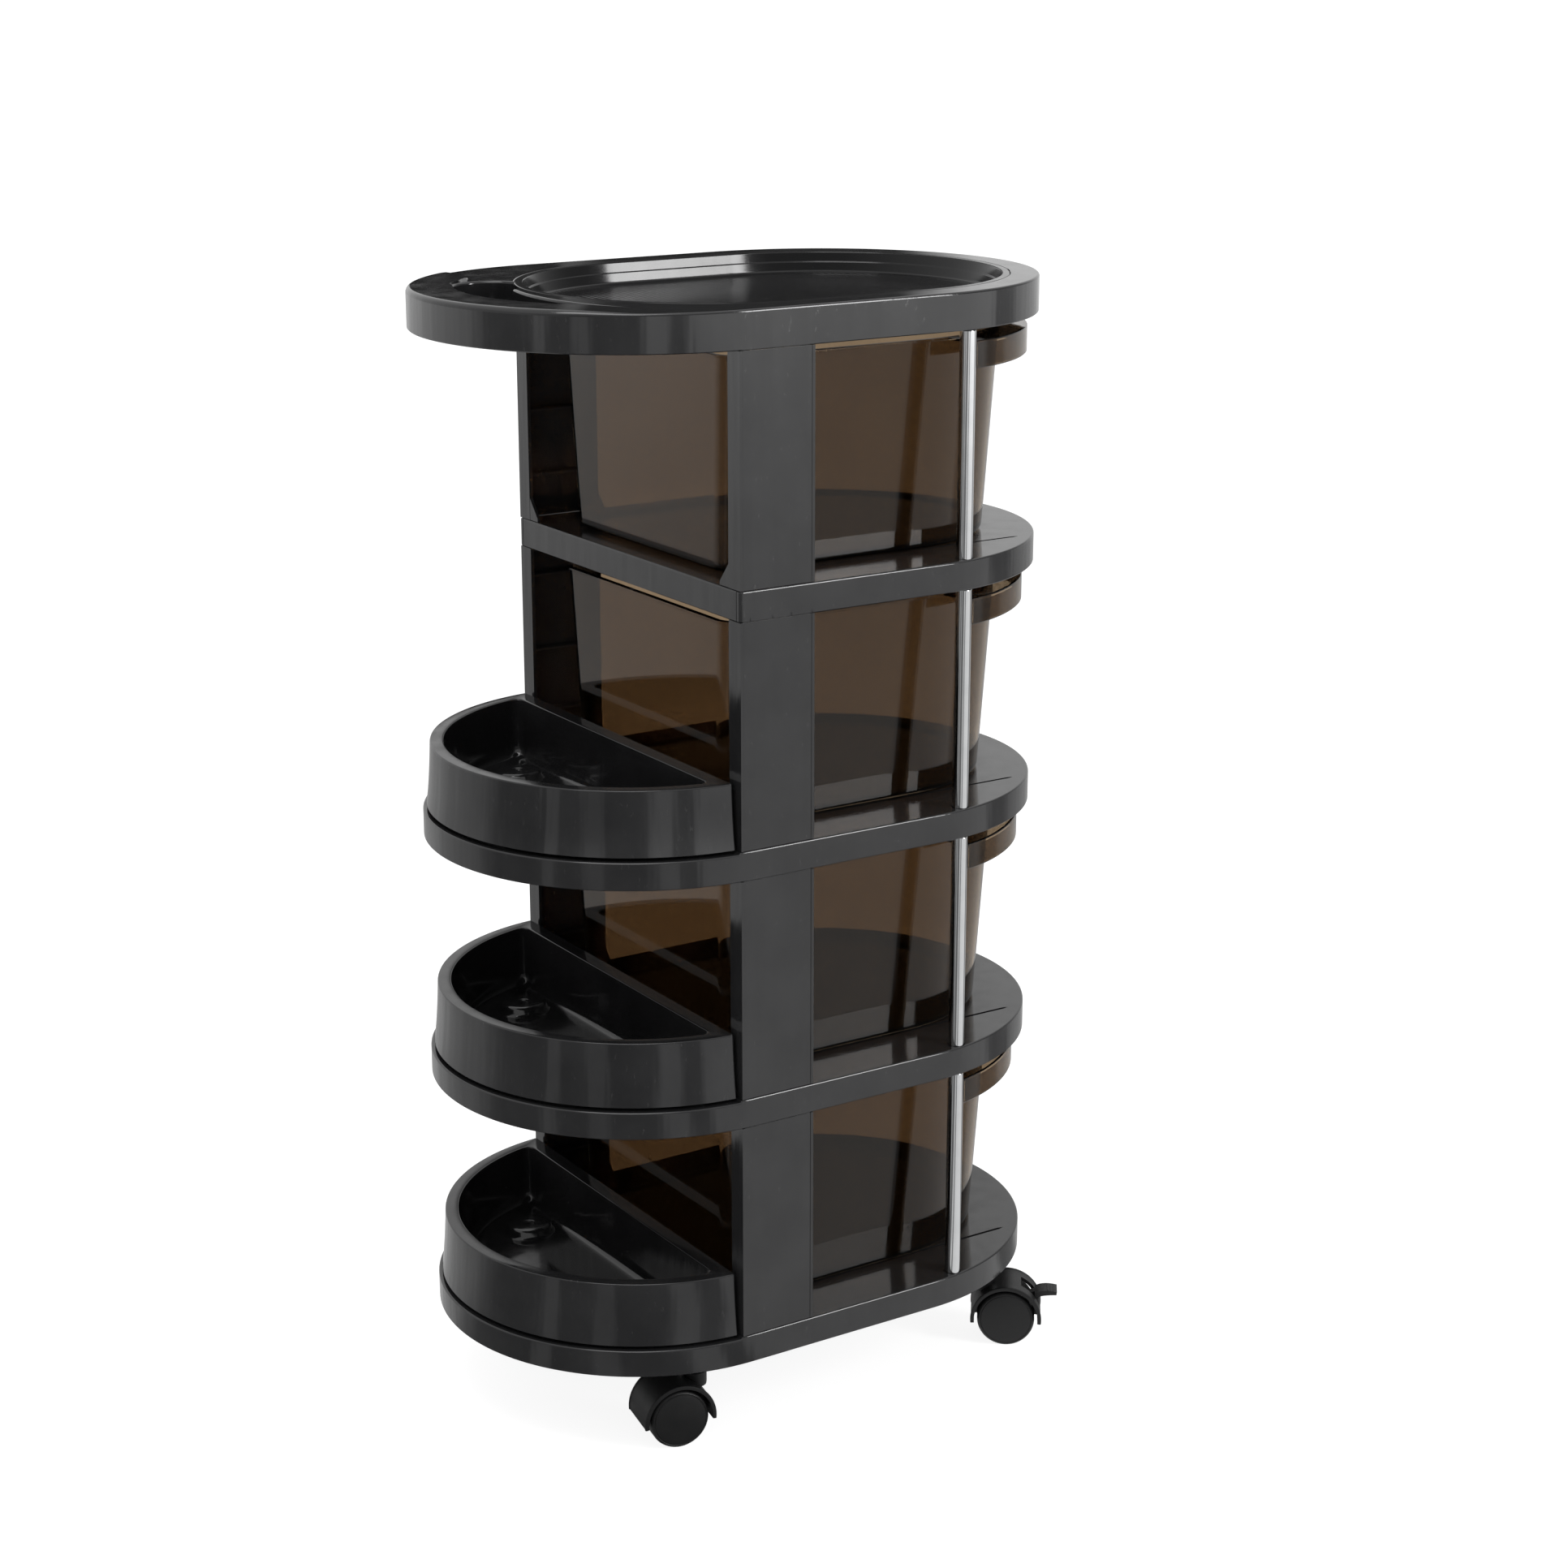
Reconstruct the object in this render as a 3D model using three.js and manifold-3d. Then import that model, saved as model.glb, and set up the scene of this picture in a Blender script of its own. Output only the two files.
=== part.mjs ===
// Rolling salon trolley: four drawer levels between moulded shelves, with side bins and hooded casters.
// Millimetres. +Z up, the floor at Z = 0, the middle of the plan at X = Y = 0, drawers opening to +X.
// "Right" pieces stand on the -Y side and "left" pieces on the +Y side.

import * as THREE from 'three';
import { mergeVertices } from 'three/addons/utils/BufferGeometryUtils.js';
import Module from 'manifold-3d';

const wasm = await Module();
wasm.setup();

// ---- Driving dimensions ----
const GAP = 0.3;                  // left between pieces that touch
const WIDTH = 350;                // plan width of the shelves
const LENGTH = 530;               // plan length of the shelves
const CASTER_HEIGHT = 76;         // floor to the underside of the base shelf
const PITCH = 205;                // one level to the next
const SHELF_HEIGHT = 24;          // depth of a shelf's skirt
const CAP_HEIGHT = 30;            // depth of the top cap's skirt
const LEVELS = 4;

const DECK = 4;                   // thickness of a shelf's deck
const WALL = 3.5;                 // thickness of skirts
const SMOKE_WALL = 2.5;           // thickness of the drawers' walls
const END = WIDTH / 2;            // radius of the round ends
const END_X = LENGTH / 2 - END;   // distance of each round end's centre from the middle
const ROUND = 14;                 // facets on half a turn of a large arc

const RIB = { pitch: 88, thick: 2.5, rise: 8 };
const PILLAR = {
  back: -100, front: -33, outer: END - 0.4, plate: 3, flange: 17, foot: 30, footHeight: 20,
  ribs: [0.2, 0.5, 0.86],         // shares of the pillar's height
};
const TUBE = { x: 115, y: 165, radius: 6.5, seat: 3, socket: 9.5 };
const GROOVE = { y: 118, width: 4, depth: 2.4, back: -76, front: 204, runner: 4 };
const DRAWER = {
  back: -80, rake: 4, centre: 101, lowHalf: 123, topHalf: 134, corner: 20,
  height: 170.5, lift: 1, rim: 2, rimHeight: 2,
};
const STOP = { back: 20, length: 8, width: 3, depth: 1.8 };   // pegs under a drawer, from its back wall
const HANDLE = { radius: 166, start: 123.5, height: 22, thick: 2.5 };
const BIN = { flat: -103, foot: 172, rim: 168, height: 54, lift: 3, lip: 11, edge: 13, skin: 2.5 };
const TRAY = { left: -22, right: END_X, half: 151, rim: 7, depth: 17, rimHeight: 2.5 };
const POCKET = {
  outer: 137, bulbX: -182, bulbY: 60, bulb: 30, innerX: 12, innerY: -23, inner: 197, depth: 20, skin: 2.5,
};
const CREST = { height: 2, front: -172 };   // the raised edge behind the pocket
const WHEEL = { radius: 25, width: 17, inner: 4.2, trail: 20, bore: 3.1, axle: 3 };
const HOOD = { outer: 31, inner: 27.5, half: 21.5, web: 3, hub: 8, boss: 9.5, top: 58, overhang: 6 };
const SLOT = { back: 33, front: 70, half: 9, low: 34, high: 62 };       // in a braked hood, for its lever
const LEVER = { half: 3.6, paddle: 8, paddleBack: 45 };
const STEM = { radius: 5, washer: 8.5, washerHeight: 2.5, boss: 14, bossDrop: 8, depth: 13.5 };
const CASTERS = [
  { name: 'right_rear', x: -119, y: -130, trail: 169, brake: false },
  { name: 'left_rear', x: -119, y: 130, trail: 200, brake: false },
  { name: 'right_front', x: 186, y: -115, trail: 323, brake: true },
  { name: 'left_front', x: 186, y: 115, trail: 22, brake: true },
];

// ---- Materials ----
const blackPlastic = new THREE.MeshStandardMaterial({ color: 0x2b2b2d, roughness: 0.28, metalness: 0 });
const innerBlack = new THREE.MeshStandardMaterial({ color: 0x0c0c0d, roughness: 0.22, metalness: 0 });
const smoke = new THREE.MeshStandardMaterial({
  color: 0x4a3a28, roughness: 0.12, metalness: 0, transparent: true, opacity: 0.6,
});
const chrome = new THREE.MeshStandardMaterial({ color: 0xd8dadc, roughness: 0.12, metalness: 1 });
const casterPlastic = new THREE.MeshStandardMaterial({ color: 0x1f1f20, roughness: 0.55, metalness: 0 });
const steel = new THREE.MeshStandardMaterial({ color: 0x9a9c9e, roughness: 0.35, metalness: 1 });

// ---- Outlines: lists of points, counter-clockwise seen from above ----
function arc(cx, cy, radius, from, to, steps = ROUND) {
  const points = [];
  for (let i = 0; i <= steps; i += 1) {
    const angle = THREE.MathUtils.degToRad(from + ((to - from) * i) / steps);
    points.push(new THREE.Vector2(cx + radius * Math.cos(angle), cy + radius * Math.sin(angle)));
  }
  return points;
}

function circle(cx, cy, radius, steps = 2 * ROUND) {
  return arc(cx, cy, radius, 0, 360, steps).slice(0, -1);
}

function stadium(left, right, half) {
  return [...arc(right, 0, half, -90, 90), ...arc(left, 0, half, 90, 270)];
}

// Straight across at `flat`, and round towards +X.
function bullet(flat, centre, half, corner = 6) {
  return [
    ...arc(centre, 0, half, -90, 90),
    ...arc(flat + corner, half - corner, corner, 90, 180, 3),
    ...arc(flat + corner, corner - half, corner, 180, 270, 3),
  ];
}

// The part of a disc about the rear end's centre that lies behind `flat`.
function halfDisc(flat, radius) {
  const open = THREE.MathUtils.radToDeg(Math.acos((flat + END_X) / radius));
  return arc(-END_X, 0, radius, open, 360 - open);
}

function rectangle(x0, x1, y0, y1) {
  return [
    new THREE.Vector2(x0, y0),
    new THREE.Vector2(x1, y0),
    new THREE.Vector2(x1, y1),
    new THREE.Vector2(x0, y1),
  ];
}

// ---- Solids ----
function solidOf(geometry) {
  const bare = geometry.index ? geometry.clone() : geometry;
  bare.deleteAttribute('normal');
  bare.deleteAttribute('uv');
  const merged = mergeVertices(bare, 1e-4);
  const triVerts = [];
  for (let i = 0; i < merged.index.count; i += 3) {
    const [a, b, c] = [0, 1, 2].map((k) => merged.index.getX(i + k));
    if (a !== b && b !== c && c !== a) triVerts.push(a, b, c);
  }
  return new wasm.Manifold(new wasm.Mesh({
    numProp: 3,
    vertProperties: new Float32Array(merged.attributes.position.array),
    triVerts: new Uint32Array(triVerts),
  }));
}

function geometryOf(solid) {
  const mesh = solid.getMesh();
  const geometry = new THREE.BufferGeometry();
  geometry.setAttribute('position', new THREE.BufferAttribute(mesh.vertProperties, 3));
  geometry.setIndex(new THREE.BufferAttribute(mesh.triVerts, 1));
  geometry.computeVertexNormals();
  return geometry;
}

function join(first, ...rest) {
  return rest.reduce((all, next) => all.add(next), first);
}

function cut(first, ...rest) {
  return rest.reduce((left, next) => left.subtract(next), first);
}

function prism(outline, z0, z1) {
  const shape = new THREE.Shape(outline);
  const geometry = new THREE.ExtrudeGeometry(shape, { depth: z1 - z0, bevelEnabled: false });
  geometry.translate(0, 0, z0);
  return solidOf(geometry);
}

// Outlines with as many points each, stacked from the bottom up and skinned.
function loft(layers) {
  const count = layers[0].outline.length;
  const positions = layers.flatMap(({ z, outline }) => outline.flatMap((p) => [p.x, p.y, z]));
  const index = [];
  for (let k = 0; k + 1 < layers.length; k += 1) {
    for (let i = 0; i < count; i += 1) {
      const a = k * count + i;
      const b = k * count + ((i + 1) % count);
      index.push(a, b, b + count, a, b + count, a + count);
    }
  }
  const last = (layers.length - 1) * count;
  for (const [a, b, c] of THREE.ShapeUtils.triangulateShape(layers[0].outline, [])) index.push(c, b, a);
  for (const [a, b, c] of THREE.ShapeUtils.triangulateShape(layers.at(-1).outline, [])) {
    index.push(last + a, last + b, last + c);
  }
  const geometry = new THREE.BufferGeometry();
  geometry.setAttribute('position', new THREE.Float32BufferAttribute(positions, 3));
  geometry.setIndex(index);
  return solidOf(geometry);
}

function block(x0, x1, y0, y1, z0, z1) {
  return prism(rectangle(x0, x1, y0, y1), z0, z1);
}

function rod(x, y, radius, z0, z1, steps = 16) {
  return prism(circle(x, y, radius, steps), z0, z1);
}

// A disc-like solid turned about the Y axis; profile points are [radius, y].
function turnedAboutY(profile, steps = 20) {
  const points = profile.map(([radius, y]) => new THREE.Vector2(radius, y));
  return solidOf(new THREE.LatheGeometry(points, steps));
}

// An outline drawn in X and Z, spread along Y from y0 to y1.
function sidePlate(points, y0, y1) {
  const shape = new THREE.Shape(points.map(([x, z]) => new THREE.Vector2(x, z)));
  const geometry = new THREE.ExtrudeGeometry(shape, { depth: y1 - y0, bevelEnabled: false });
  geometry.rotateX(Math.PI / 2).translate(0, y1, 0);
  return solidOf(geometry);
}

// An outline drawn in Y and Z, spread along X from x0 to x1.
function crossPlate(points, x0, x1) {
  const shape = new THREE.Shape(points.map(([y, z]) => new THREE.Vector2(y, z)));
  const geometry = new THREE.ExtrudeGeometry(shape, { depth: x1 - x0, bevelEnabled: false });
  const [alongX, alongY, alongZ] = [0, 1, 2].map((k) => new THREE.Vector3().setComponent(k, 1));
  geometry.applyMatrix4(new THREE.Matrix4().makeBasis(alongY, alongZ, alongX)).translate(x0, 0, 0);
  return solidOf(geometry);
}

// ---- The trolley ----
const trolley = new THREE.Group();

function place(name, solid, material, where = {}) {
  const mesh = new THREE.Mesh(geometryOf(solid), material);
  mesh.name = name;
  mesh.position.set(where.x ?? 0, where.y ?? 0, where.z ?? 0);
  mesh.rotation.z = THREE.MathUtils.degToRad(where.turn ?? 0);
  trolley.add(mesh);
}

const SIDES = [['right', -1], ['left', 1]];
const capUnderside = CASTER_HEIGHT + PITCH * LEVELS;
const capTop = capUnderside + CAP_HEIGHT;

// Underside of the shelf below drawer `level`; level 1 is the highest.
function shelfUnderside(level) {
  return CASTER_HEIGHT + PITCH * (LEVELS - level);
}

function deckTop(level) {
  return shelfUnderside(level) + SHELF_HEIGHT;
}

// Ribs and blocks under a plate, trimmed to its outline: z0 is their lowest point, z1 the plate.
function underside(outline, z0, z1, carriesUprights) {
  const { pitch, rise } = RIB;
  const half = RIB.thick / 2;
  const ribs = [-1, 0, 1].map((i) => (
    block(-LENGTH / 2, LENGTH / 2, i * pitch - half, i * pitch + half, z0 + rise, z1)
  ));
  const crossRibs = [-2, -1, 0, 1, 2].map((i) => (
    block(i * pitch - half, i * pitch + half, -END, END, z0 + rise, z1)
  ));
  const runners = [-1, 1].map((side) => {
    const y = side * GROOVE.y;
    const reach = GROOVE.runner;
    return block(GROOVE.back - reach, GROOVE.front + reach, y - reach, y + reach, z1 - 3, z1);
  });
  const pads = [];
  if (carriesUprights) {
    for (const side of [-1, 1]) {
      const [y0, y1] = [side * (END - PILLAR.flange), side * END].sort((a, b) => a - b);
      pads.push(block(PILLAR.back, PILLAR.front, y0, y1, z0, z1));
      pads.push(rod(TUBE.x, side * TUBE.y, TUBE.socket, z0, z1));
    }
  }
  return join(...ribs, ...crossRibs, ...runners, ...pads).intersect(prism(outline, z0 - 1, z1 + 1));
}

function shelf(level) {
  const z0 = shelfUnderside(level);
  const z1 = deckTop(level);
  const rearFlat = PILLAR.back - 0.5;
  const isShort = level === 1;
  const outer = isShort ? bullet(rearFlat, END_X, END, 4) : stadium(-END_X, END_X, END);
  const inner = isShort
    ? bullet(rearFlat + WALL, END_X, END - WALL, 2)
    : stadium(-END_X, END_X, END - WALL);
  const shell = cut(prism(outer, z0, z1), prism(inner, z0 - 1, z1 - DECK));
  const body = join(shell, underside(outer, z0, z1 - DECK + 0.5, level < LEVELS));
  const grooves = [-1, 1].map((side) => {
    const y = side * GROOVE.y;
    const half = GROOVE.width / 2;
    return block(GROOVE.back, GROOVE.front, y - half, y + half, z1 - GROOVE.depth, z1 + 1);
  });
  const seats = [-1, 1].map((side) => (
    rod(TUBE.x, side * TUBE.y, TUBE.radius + GAP, z1 - TUBE.seat, z1 + 1)
  ));
  return cut(body, ...grooves, ...seats);
}

function baseShelf() {
  const z0 = shelfUnderside(LEVELS);
  const low = z0 - STEM.bossDrop;
  const bosses = CASTERS.map(({ x, y }) => rod(x, y, STEM.boss, low, deckTop(LEVELS) - DECK + 0.5));
  const bores = CASTERS.map(({ x, y }) => rod(x, y, STEM.radius + GAP, low - 1, z0 + STEM.depth + 0.5));
  return cut(join(shelf(LEVELS), ...bosses), ...bores);
}

// A channel open towards the middle of the trolley, with a splayed foot on each flange.
function pillar(level, side) {
  const z0 = deckTop(level) + GAP;
  const z1 = deckTop(level) + PITCH - SHELF_HEIGHT - GAP;
  const { back, front, outer, plate, flange, foot, footHeight } = PILLAR;
  const channel = [
    [back, outer], [back, outer - flange], [back + plate, outer - flange], [back + plate, outer - plate],
    [front - plate, outer - plate], [front - plate, outer - flange], [front, outer - flange], [front, outer],
  ];
  const uprights = prism(channel.map(([x, y]) => new THREE.Vector2(x, side * y)), z0, z1);
  const footOutline = [
    [outer - plate + 1, z0], [outer - foot, z0], [outer - foot, z0 + 4],
    [outer - flange + 2, z0 + footHeight], [outer - plate + 1, z0 + footHeight],
  ].map(([y, z]) => [side * y, z]);
  const inset = 0.2;
  const feet = [back + inset, front - plate + inset].map((x) => (
    crossPlate(footOutline, x, x + plate - 2 * inset)
  ));
  const ribs = PILLAR.ribs.map((share) => {
    const z = z0 + share * (z1 - z0);
    const [y0, y1] = [side * (outer - plate + 1), side * (outer - flange + 3)].sort((p, q) => p - q);
    return block(back + 1, front - 1, y0, y1, z, z + 2);
  });
  return join(uprights, ...feet, ...ribs);
}

function tube(level, side) {
  const z0 = deckTop(level) - TUBE.seat + GAP;
  const z1 = deckTop(level) + PITCH - SHELF_HEIGHT - GAP;
  return rod(TUBE.x, side * TUBE.y, TUBE.radius, z0, z1);
}

// A tapered open box with a rim; a lip joins the rim's front to a band that serves as the handle.
function drawer(level) {
  const floor = deckTop(level) + DRAWER.lift;
  const top = deckTop(level) + DRAWER.height;
  const rimUnder = top - DRAWER.rimHeight;
  const shape = (half, inset) => {
    const lean = DRAWER.rake * (half - DRAWER.lowHalf) / (DRAWER.topHalf - DRAWER.lowHalf);
    return bullet(DRAWER.back - lean + inset, DRAWER.centre, half - inset, DRAWER.corner - inset);
  };
  const skin = SMOKE_WALL;
  const outside = loft([
    { z: floor, outline: shape(DRAWER.lowHalf - 1, 5) },
    { z: floor + 1.5, outline: shape(DRAWER.lowHalf, 2) },
    { z: floor + 5, outline: shape(DRAWER.lowHalf, 0) },
    { z: top, outline: shape(DRAWER.topHalf, 0) },
  ]);
  const inside = loft([
    { z: floor + skin, outline: shape(DRAWER.lowHalf - 1, 5 + skin) },
    { z: floor + skin + 3.5, outline: shape(DRAWER.lowHalf, skin) },
    { z: top + 1, outline: shape(DRAWER.topHalf, skin) },
  ]);
  const rim = prism(shape(DRAWER.topHalf, -DRAWER.rim), rimUnder, top);
  const open = THREE.MathUtils.radToDeg(Math.acos((HANDLE.start - END_X) / HANDLE.radius));
  const front = arc(END_X, 0, HANDLE.radius, -open, open);
  const frontInside = circle(END_X, 0, HANDLE.radius - HANDLE.thick, 4 * ROUND);
  const band = cut(prism(front, top - HANDLE.height, top), prism(frontInside, floor, rimUnder));
  const lip = prism(front, rimUnder, top);
  const stops = [-1, 1].map((side) => {
    const x = DRAWER.back + STOP.back;
    const y = side * GROOVE.y;
    const half = STOP.width / 2;
    return block(x, x + STOP.length, y - half, y + half, deckTop(level) - STOP.depth, floor + 2);
  });
  return cut(join(outside, rim, lip, band, ...stops), inside);
}

// A D-shaped side tray: a flared skirt, a flat rim and a deep basin, open underneath between the two.
function bin(level) {
  const deck = deckTop(level);
  const z1 = deck + BIN.height;
  const z0 = deck + BIN.lift;
  const outside = loft([
    { z: z0, outline: halfDisc(BIN.flat, BIN.foot) },
    { z: z1, outline: halfDisc(BIN.flat, BIN.rim) },
  ]);
  const hollow = loft([
    { z: z0 - 5, outline: halfDisc(BIN.flat - BIN.skin, BIN.foot - BIN.skin) },
    { z: z1 - BIN.skin, outline: halfDisc(BIN.flat - BIN.skin, BIN.rim - BIN.skin) },
  ]);
  const basin = (grow, low, high) => loft([
    { z: low, outline: halfDisc(BIN.flat - BIN.edge - 4 + grow, BIN.rim - BIN.lip - 8 + grow) },
    { z: low + 5, outline: halfDisc(BIN.flat - BIN.edge - 1 + grow, BIN.rim - BIN.lip - 3 + grow) },
    { z: high, outline: halfDisc(BIN.flat - BIN.edge + grow, BIN.rim - BIN.lip + grow) },
  ]);
  const bowl = basin(BIN.skin, deck + GAP, z1);
  const space = basin(0, deck + GAP + BIN.skin, z1 + 0.5);
  return cut(join(cut(outside, hollow), bowl), space);
}

// The comma-shaped pocket at the rear of the top, grown by `grow` all round.
function pocketSpace(grow, z0, z1) {
  const moon = cut(
    prism(circle(-END_X, 0, POCKET.outer + grow, 4 * ROUND), z0, z1),
    prism(circle(POCKET.innerX, POCKET.innerY, POCKET.inner - grow, 4 * ROUND), z0 - 1, z1 + 1),
  );
  const tailSide = block(-LENGTH / 2, -END_X, -END, POCKET.bulbY, z0 - 1, z1 + 1);
  return join(moon.intersect(tailSide), rod(POCKET.bulbX, POCKET.bulbY, POCKET.bulb + grow, z0, z1, 32));
}

function topCap() {
  const plate = capTop - WALL;
  const outer = stadium(-END_X, END_X, END);
  const shell = cut(prism(outer, capUnderside, capTop), prism(stadium(-END_X, END_X, END - WALL), 0, plate));
  const pads = [];
  for (const side of [-1, 1]) {
    const [y0, y1] = [side * (END - PILLAR.flange), side * END].sort((a, b) => a - b);
    pads.push(block(PILLAR.back, PILLAR.front, y0, y1, capUnderside, plate + 0.5));
    pads.push(rod(TUBE.x, side * TUBE.y, TUBE.socket, capUnderside, plate + 0.5));
  }
  const padding = join(...pads).intersect(prism(outer, capUnderside, capTop));
  const crest = cut(
    prism(outer, capTop - 0.5, capTop + CREST.height),
    prism(circle(-END_X, 0, POCKET.outer, 4 * ROUND), 0, capTop + 10),
    block(CREST.front, LENGTH, -LENGTH, LENGTH, 0, capTop + 10),
  );
  const pocketFloor = capTop - POCKET.depth;
  const bowl = pocketSpace(POCKET.skin, pocketFloor - POCKET.skin, plate + 0.5);
  const seatBottom = capTop - TRAY.rimHeight - GAP;
  const seat = prism(stadium(TRAY.left, TRAY.right, TRAY.half + GAP), seatBottom, capTop + 5);
  const well = prism(stadium(TRAY.left, TRAY.right, TRAY.half - TRAY.rim + 3), 0, capTop + 5);
  return cut(join(shell, padding, crest, bowl), pocketSpace(0, pocketFloor, capTop + 5), seat, well);
}

function trayInsert() {
  const under = capTop - TRAY.rimHeight;
  const floor = capTop - TRAY.depth;
  const side = (inset) => stadium(TRAY.left, TRAY.right, TRAY.half - TRAY.rim - inset);
  const rim = prism(stadium(TRAY.left, TRAY.right, TRAY.half), under, capTop);
  const bowl = loft([
    { z: floor - 2.5, outline: side(3) },
    { z: capTop, outline: side(-2.5) },
  ]);
  const space = loft([
    { z: floor, outline: side(5.5) },
    { z: capTop + 0.5, outline: side(0) },
  ]);
  return cut(join(rim, bowl), space);
}

// ---- Casters, each built with its stem on the Z axis and its wheels trailing towards +X ----
function hood(hasBrake) {
  const { trail, radius } = WHEEL;
  const ringPoint = ([x, z]) => [x + trail, z + radius];
  const fan = (reach) => [
    ...arc(0, 0, reach, -HOOD.overhang, 180 + HOOD.overhang).map((p) => ringPoint([p.x, p.y])),
    ringPoint([0, 0]),
  ];
  const shell = sidePlate(fan(HOOD.outer), -HOOD.half, HOOD.half);
  const boss = rod(0, 0, HOOD.boss, radius + 10, HOOD.top);
  const wheelSpace = sidePlate(circle(trail, radius, HOOD.inner).map((p) => [p.x, p.y]), -40, 40);
  const web = sidePlate(fan(HOOD.inner + 1), -HOOD.web, HOOD.web);
  const hub = sidePlate(circle(trail, radius, HOOD.hub, 16).map((p) => [p.x, p.y]), -HOOD.web, HOOD.web);
  const axleBore = sidePlate(circle(trail, radius, WHEEL.bore, 16).map((p) => [p.x, p.y]), -50, 50);
  const stemBore = rod(0, 0, STEM.radius + GAP, HOOD.top - 7, HOOD.top + 5);
  const cover = cut(join(shell, boss), wheelSpace);
  const body = cut(join(cover, web, hub), axleBore, stemBore);
  const { back, front, half, low, high } = SLOT;
  return hasBrake ? cut(body, block(back, front, -half, half, low, high)) : body;
}

function wheel(side) {
  const { radius, width, inner, bore } = WHEEL;
  const outer = inner + width;
  // (distance from the axle, distance from the caster's middle): a blind bore, a tread and a domed disc.
  const profile = [
    [0, outer - 3], [bore, outer - 3], [bore, inner], [radius - 1.5, inner], [radius, inner + 2],
    [radius, outer - 5], [radius - 1.5, outer - 1.8], [radius - 5, outer], [0, outer],
  ];
  const solid = turnedAboutY(profile);
  const placed = side > 0 ? solid : solid.rotate([180, 0, 0]);
  return placed.translate([WHEEL.trail, 0, radius]);
}

function axle() {
  const outline = circle(WHEEL.trail, WHEEL.radius, WHEEL.axle, 16).map((p) => [p.x, p.y]);
  const reach = WHEEL.inner + WHEEL.width - 3.5;
  return sidePlate(outline, -reach, reach);
}

function stem() {
  const z0 = HOOD.top - 6.5;
  const z1 = CASTER_HEIGHT + STEM.depth;
  const washer = rod(0, 0, STEM.washer, HOOD.top + GAP, HOOD.top + GAP + STEM.washerHeight);
  return join(rod(0, 0, STEM.radius, z0, z1, 12), washer);
}

// A rocker: a narrow arm between the wheels, and a wide paddle that passes through the hood's slot.
function brakeLever() {
  // (x, z) along the arm's underside to the paddle's tip, and back along its top.
  const outline = [
    [36, 36], [42, 37.5], [49, 42], [56, 43.5], [64, 44], [64.5, 47], [57, 48], [50, 47.5],
    [44, 45], [37, 42.5], [34.5, 39.5],
  ];
  const arm = sidePlate(outline, -LEVER.half, LEVER.half);
  const outside = block(LEVER.paddleBack, SLOT.front, -LEVER.paddle, LEVER.paddle, 0, SLOT.high);
  return join(arm, sidePlate(outline, -LEVER.paddle, LEVER.paddle).intersect(outside));
}

// ---- Assembly ----
place('top_cap', topCap(), blackPlastic);
place('tray_insert', trayInsert(), innerBlack);
for (let level = 1; level <= LEVELS; level += 1) {
  const isBase = level === LEVELS;
  place(isBase ? 'base_shelf' : `shelf_${level}`, isBase ? baseShelf() : shelf(level), blackPlastic);
  place(`drawer_${level}`, drawer(level), smoke);
  if (level > 1) place(`side_bin_${level}`, bin(level), blackPlastic);
  for (const [name, side] of SIDES) {
    place(`pillar_${level}_${name}`, pillar(level, side), blackPlastic);
    place(`tube_${level}_${name}`, tube(level, side), chrome);
  }
}
for (const { name, x, y, trail, brake } of CASTERS) {
  const where = { x, y, turn: trail };
  place(`caster_stem_${name}`, stem(), chrome, where);
  place(`caster_hood_${name}`, hood(brake), casterPlastic, where);
  place(`caster_axle_${name}`, axle(), steel, where);
  place(`caster_wheel_${name}_a`, wheel(1), casterPlastic, where);
  place(`caster_wheel_${name}_b`, wheel(-1), casterPlastic, where);
  if (brake) place(`brake_lever_${name}`, brakeLever(), casterPlastic, where);
}

export default trolley;
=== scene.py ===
"""Looks of the rolling salon trolley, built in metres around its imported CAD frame."""
import math

import bpy
import bmesh
from mathutils import Matrix, Vector


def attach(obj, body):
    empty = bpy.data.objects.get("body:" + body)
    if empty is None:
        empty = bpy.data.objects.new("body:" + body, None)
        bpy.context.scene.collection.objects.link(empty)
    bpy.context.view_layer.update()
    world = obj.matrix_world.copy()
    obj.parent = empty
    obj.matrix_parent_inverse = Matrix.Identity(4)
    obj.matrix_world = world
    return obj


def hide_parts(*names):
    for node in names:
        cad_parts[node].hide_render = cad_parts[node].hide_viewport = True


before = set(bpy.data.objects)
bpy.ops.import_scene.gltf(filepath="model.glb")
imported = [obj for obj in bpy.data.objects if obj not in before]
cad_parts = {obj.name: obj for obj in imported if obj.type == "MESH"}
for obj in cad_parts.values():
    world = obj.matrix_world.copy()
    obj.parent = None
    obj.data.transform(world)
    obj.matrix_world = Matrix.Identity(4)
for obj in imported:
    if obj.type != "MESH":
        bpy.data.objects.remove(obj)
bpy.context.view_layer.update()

MM = 0.001

# ---- Driving dimensions, in metres ----
END = 175 * MM                     # radius of the shelves' round ends
END_X = 90 * MM                    # each round end's centre, from the middle
FLOOR_GAP = 76 * MM                # floor to the underside of the base shelf
PITCH = 205 * MM                   # one level to the next
SHELF_HEIGHT = 24 * MM
DECK = 4 * MM                      # thickness of a shelf's deck
WALL = 3.5 * MM                    # thickness of skirts
CAP_LOW = 896 * MM
CAP_TOP = 926 * MM
CREST = 1.9 * MM                   # height of the raised edge behind the pocket
LEVELS = (1, 2, 3, 4)              # drawer levels, counted from the top
SIGNS = (-1, 1)                    # of Y, at the right and the left side
SIDES = (("right", -1), ("left", 1))
PILLAR_BACK = -100 * MM
PILLAR_FRONT = -33 * MM
PILLAR_DEPTH = 17 * MM             # how far a pillar reaches in from the shelves' edge
TUBE_X = 115 * MM
TUBE_Y = 165 * MM
TUBE_RADIUS = 6.5 * MM
SHORT_BACK = PILLAR_BACK - 0.5 * MM            # rear face of the highest shelf
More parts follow.
